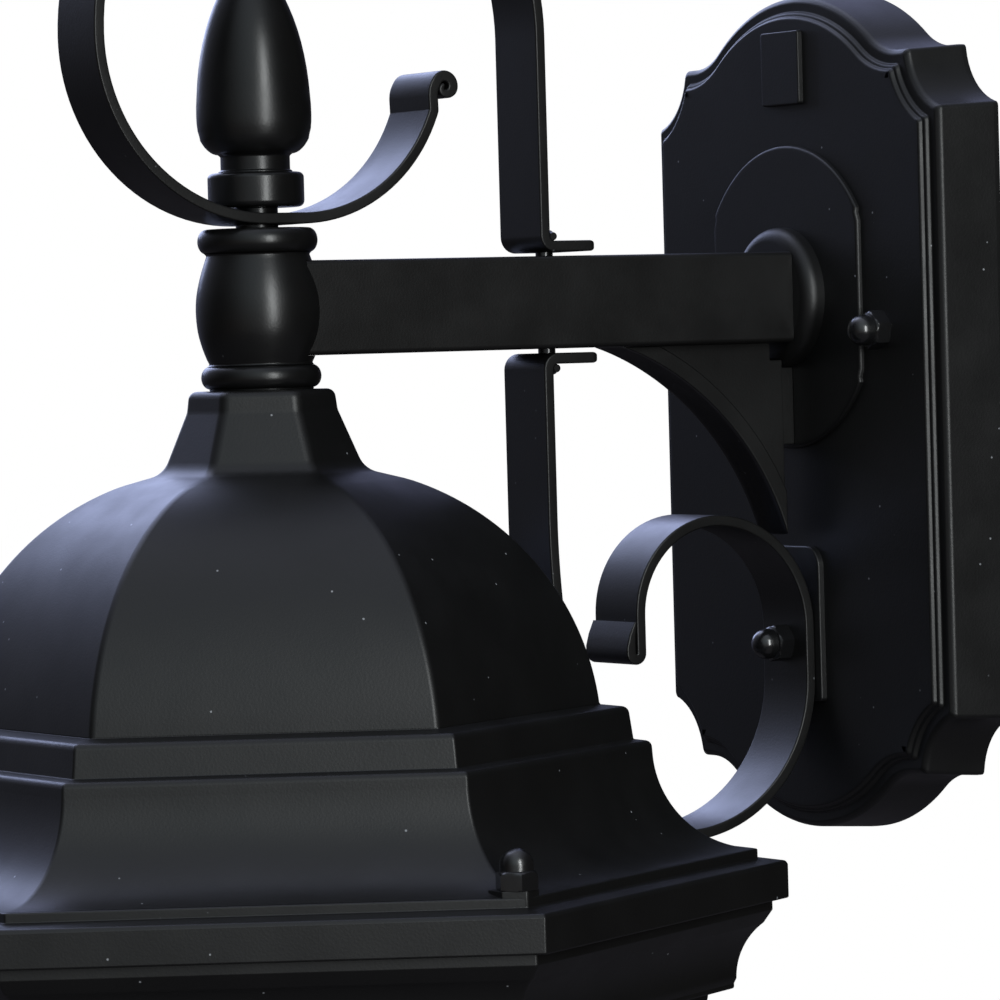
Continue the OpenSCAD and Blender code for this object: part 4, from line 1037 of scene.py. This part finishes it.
def build_pan():
    """The hollow stepped pan under the cage."""
    pan_foot = cage_foot - 8
    step_foot = pan_foot - 6
    prof = rounded([(50.0, cage_foot), (86.5, cage_foot, 0.5), (88.0, cage_foot - 1.5, 1.0),
                    (88.0, pan_foot + 4, 3.0), (84.0, pan_foot, 0.8), (61.5, pan_foot, 1.0),
                    (60.0, pan_foot - 1.5, 0.8), (57.0, step_foot, 1.2), (2.45, step_foot),
                    (2.45, step_foot + 2.5), (52.0, step_foot + 2.5, 1.5), (57.5, step_foot + 5.5, 1.5),
                    (57.5, cage_foot)], 4)[1:]
    rings = [hex_ring(r, z, min(1.8, r * 0.8), 4, 5) for r, z in prof]
    return loft("pan_casting", rings, loop=True, smooth=32)


dressed(build_pan(), "bottom_pan", casting)


def build_drop():
    """The pointed drop under the pan; share is (height, radius) of its form."""
    z = cage_foot - 14
    share = [(0.0, 0.62), (0.03, 0.68), (0.06, 0.7), (0.09, 0.68), (0.12, 0.62), (0.14, 0.5), (0.16, 0.43),
             (0.2, 0.4), (0.24, 0.43), (0.27, 0.52), (0.3, 0.63), (0.34, 0.76), (0.38, 0.87), (0.43, 0.96),
             (0.48, 1.0), (0.53, 1.0), (0.58, 0.96), (0.64, 0.88), (0.7, 0.77), (0.76, 0.64), (0.82, 0.5),
             (0.87, 0.38), (0.92, 0.27), (0.96, 0.17), (0.985, 0.1)]
    pts = [(2.45, z - 14), (2.45, z)] + [(12 * b, z - 34 * a) for a, b in share] + [(0, z - 34)]
    return lathe("drop_turning", [(0, z - 14)] + pts, 80, smooth=40)


dressed(build_drop(), "bottom_finial", turned_coat)


# Pieces that keep their CAD form get their materials

OTHER = {
    "mounting_strap": zinc, "plate_studs": zinc, "earth_screw": green, "foot_rivets": fastener,
    "scroll_stud": zinc, "threaded_tube": zinc, "lock_nut": zinc, "lock_washer": zinc, "roof_studs": zinc,
    "pane_clips": zinc, "clip_screws": zinc, "pan_screws": fastener, "finial_stud": zinc, "finial_nut": zinc,
    "socket_cup": steel, "lamp_socket": porcelain, "socket_shell": brass, "centre_contact": brass,
    "bulb": frost, "pane_1": pane_glass, "pane_2": pane_glass, "pane_3": pane_glass, "pane_4": pane_glass,
    "pane_5": pane_glass, "pane_6": pane_glass,
}
for name, material in OTHER.items():
    ob = NODES[name]
    if not ob.material_slots:
        ob.data.materials.append(material)
    for s in ob.material_slots:
        s.material = material


# Floor, background, light

FLOOR_R, FLOOR_Z = 3.2, -1.1


def pale_floor():
    """A white disc below the lantern that fades into the background, and is dull to reflections."""
    verts = [(x, y, 0) for x, y in arc(0, 0, FLOOR_R, 0, 360, 96)[:-1]]
    me = bpy.data.meshes.new("floor")
    me.from_pydata(verts, [], [tuple(range(96))])
    ob = bpy.data.objects.new("floor", me)
    scene.collection.objects.link(ob)
    ob.location = (0, -REACH * MM, FLOOR_Z)
    m, t, b = nodes_of("floor_paper")
    b.inputs["Base Color"].default_value = (0.9, 0.9, 0.9, 1)
    b.inputs["Roughness"].default_value = 0.8
    c = t.nodes.new("ShaderNodeTexCoord").outputs["Object"]
    length = t.nodes.new("ShaderNodeVectorMath")
    length.operation = "LENGTH"
    t.links.new(c, length.inputs[0])
    fade = t.nodes.new("ShaderNodeMapRange")
    fade.inputs[1].default_value = 1.2
    fade.inputs[2].default_value = 3.1
    t.links.new(length.outputs["Value"], fade.inputs[0])
    glow = t.nodes.new("ShaderNodeEmission")
    glow.inputs[1].default_value = 1.0
    mix = t.nodes.new("ShaderNodeMixShader")
    t.links.new(fade.outputs[0], mix.inputs[0])
    t.links.new(b.outputs[0], mix.inputs[1])
    t.links.new(glow.outputs[0], mix.inputs[2])
    path = t.nodes.new("ShaderNodeLightPath")
    plain = t.nodes.new("ShaderNodeMixShader")
    keep = t.nodes.new("ShaderNodeBsdfDiffuse")
    keep.inputs[0].default_value = (0.10, 0.09, 0.085, 1)
    t.links.new(path.outputs["Is Camera Ray"], plain.inputs[0])
    t.links.new(keep.outputs[0], plain.inputs[1])
    t.links.new(mix.outputs[0], plain.inputs[2])
    t.links.new(plain.outputs[0], t.nodes["Material Output"].inputs[0])
    me.materials.append(m)


pale_floor()


# Soft lights of the surroundings, as (direction, tightness, colour)
STUDIO = [
    ((0.75, -0.45, 0.42), 5.0, (0.52, 0.60, 0.64)),
    ((0.05, -0.10, 0.99), 5.0, (0.62, 0.66, 0.78)),
    ((-0.64, 0.33, 0.70), 14.0, (0.56, 0.62, 1.05)),
    ((-0.50, -0.12, 0.86), 32.0, (1.7, 1.85, 2.5)),
    ((-0.88, 0.12, 0.42), 9.0, (0.28, 0.31, 0.50)),
    ((0.86, 0.50, 0.00), 12.0, (0.01, 0.01, 0.01)),
    ((-0.80, -0.45, 0.38), 10.0, (0.16, 0.17, 0.20)),
    ((0.50, -0.45, -0.74), 3.0, (0.17, 0.115, 0.095)),
]


def studio_world():
    """White to the camera and through glass; a soft studio, brighter to the left and front, to the rest."""
    w = bpy.data.worlds.new("studio")
    scene.world = w
    w.use_nodes = True
    t = w.node_tree
    t.nodes.clear()
    out = t.nodes.new("ShaderNodeOutputWorld")
    c = t.nodes.new("ShaderNodeTexCoord").outputs["Generated"]

    def lobe(direction, power):
        d = Vector(direction).normalized()
        dot = t.nodes.new("ShaderNodeVectorMath")
        dot.operation = "DOT_PRODUCT"
        t.links.new(c, dot.inputs[0])
        dot.inputs[1].default_value = d
        mp = t.nodes.new("ShaderNodeMath")
        mp.operation = "MAXIMUM"
        t.links.new(dot.outputs["Value"], mp.inputs[0])
        mp.inputs[1].default_value = 0.0
        pw = t.nodes.new("ShaderNodeMath")
        pw.operation = "POWER"
        t.links.new(mp.outputs[0], pw.inputs[0])
        pw.inputs[1].default_value = power
        return pw.outputs[0]

    total = (0.018, 0.016, 0.015)
    for direction, power, colour in STUDIO:
        a = t.nodes.new("ShaderNodeMix")
        a.data_type = "RGBA"
        a.blend_type = "ADD"
        t.links.new(lobe(direction, power), a.inputs[0])
        if isinstance(total, tuple):
            a.inputs[6].default_value = (*total, 1)
        else:
            t.links.new(total, a.inputs[6])
        a.inputs[7].default_value = (*colour, 1)
        total = a.outputs[2]
    studio = t.nodes.new("ShaderNodeBackground")
    t.links.new(total, studio.inputs[0])
    white = t.nodes.new("ShaderNodeBackground")
    white.inputs[0].default_value = (1, 1, 1, 1)
    path = t.nodes.new("ShaderNodeLightPath")
    seen = t.nodes.new("ShaderNodeMath")
    seen.operation = "MAXIMUM"
    t.links.new(path.outputs["Is Camera Ray"], seen.inputs[0])
    t.links.new(path.outputs["Is Transmission Ray"], seen.inputs[1])
    backdrop = t.nodes.new("ShaderNodeMath")
    backdrop.operation = "MULTIPLY"
    t.links.new(path.outputs["Is Glossy Ray"], backdrop.inputs[0])
    dim = t.nodes.new("ShaderNodeMath")
    dim.operation = "MULTIPLY"
    dim.inputs[1].default_value = 0.16
    t.links.new(lobe((-0.855, 0.518, 0.0), 60.0), dim.inputs[0])
    t.links.new(dim.outputs[0], backdrop.inputs[1])
    both = t.nodes.new("ShaderNodeMath")
    both.operation = "MAXIMUM"
    t.links.new(seen.outputs[0], both.inputs[0])
    t.links.new(backdrop.outputs[0], both.inputs[1])
    mix = t.nodes.new("ShaderNodeMixShader")
    t.links.new(both.outputs[0], mix.inputs[0])
    t.links.new(studio.outputs[0], mix.inputs[1])
    t.links.new(white.outputs[0], mix.inputs[2])
    t.links.new(mix.outputs[0], out.inputs[0])


studio_world()

TARGET = Vector((0.0, -REACH * MM, -0.02))


def softbox(name, direction, distance, size, power, colour):
    """A rectangle of light at a distance from the lantern, turned towards it."""
    d = Vector(direction).normalized()
    light = bpy.data.lights.new(name, "AREA")
    light.shape = "RECTANGLE"
    light.size, light.size_y = size
    light.energy = power
    light.color = colour
    ob = bpy.data.objects.new(name, light)
    scene.collection.objects.link(ob)
    ob.location = TARGET + d * distance
    ob.rotation_euler = (-d).to_track_quat("-Z", "Y").to_euler()


softbox("front_strip", (0.985, -0.075, 0.18), 1.9, (0.34, 1.4), 18.0, (0.97, 1.0, 1.0))
softbox("cool_left", (-0.88, 0.17, 0.42), 1.6, (0.95, 0.95), 8.6, (0.56, 0.65, 1.0))


# Camera at the photograph's place

CAMERA_AT = Vector((1.27212, -0.89005, -0.00157))
LENS, SENSOR = 194.78, 36
az, el, roll = math.radians(58.82), math.radians(1.63), math.radians(-1.59)
back = Vector((math.sin(az) * math.cos(el), -math.cos(az) * math.cos(el), math.sin(el)))
right = Vector((math.cos(az), math.sin(az), 0))
up = back.cross(right)
r2 = right * math.cos(roll) + up * math.sin(roll)
u2 = -right * math.sin(roll) + up * math.cos(roll)
cam = bpy.data.cameras.new("camera")
cam.lens = LENS
cam.sensor_width = SENSOR
cam.clip_end = 50
camera = bpy.data.objects.new("camera", cam)
scene.collection.objects.link(camera)
camera.matrix_world = Matrix(((r2.x, u2.x, back.x, CAMERA_AT.x), (r2.y, u2.y, back.y, CAMERA_AT.y),
                              (r2.z, u2.z, back.z, CAMERA_AT.z), (0, 0, 0, 1)))
scene.camera = camera
scene.view_settings.view_transform = "Standard"
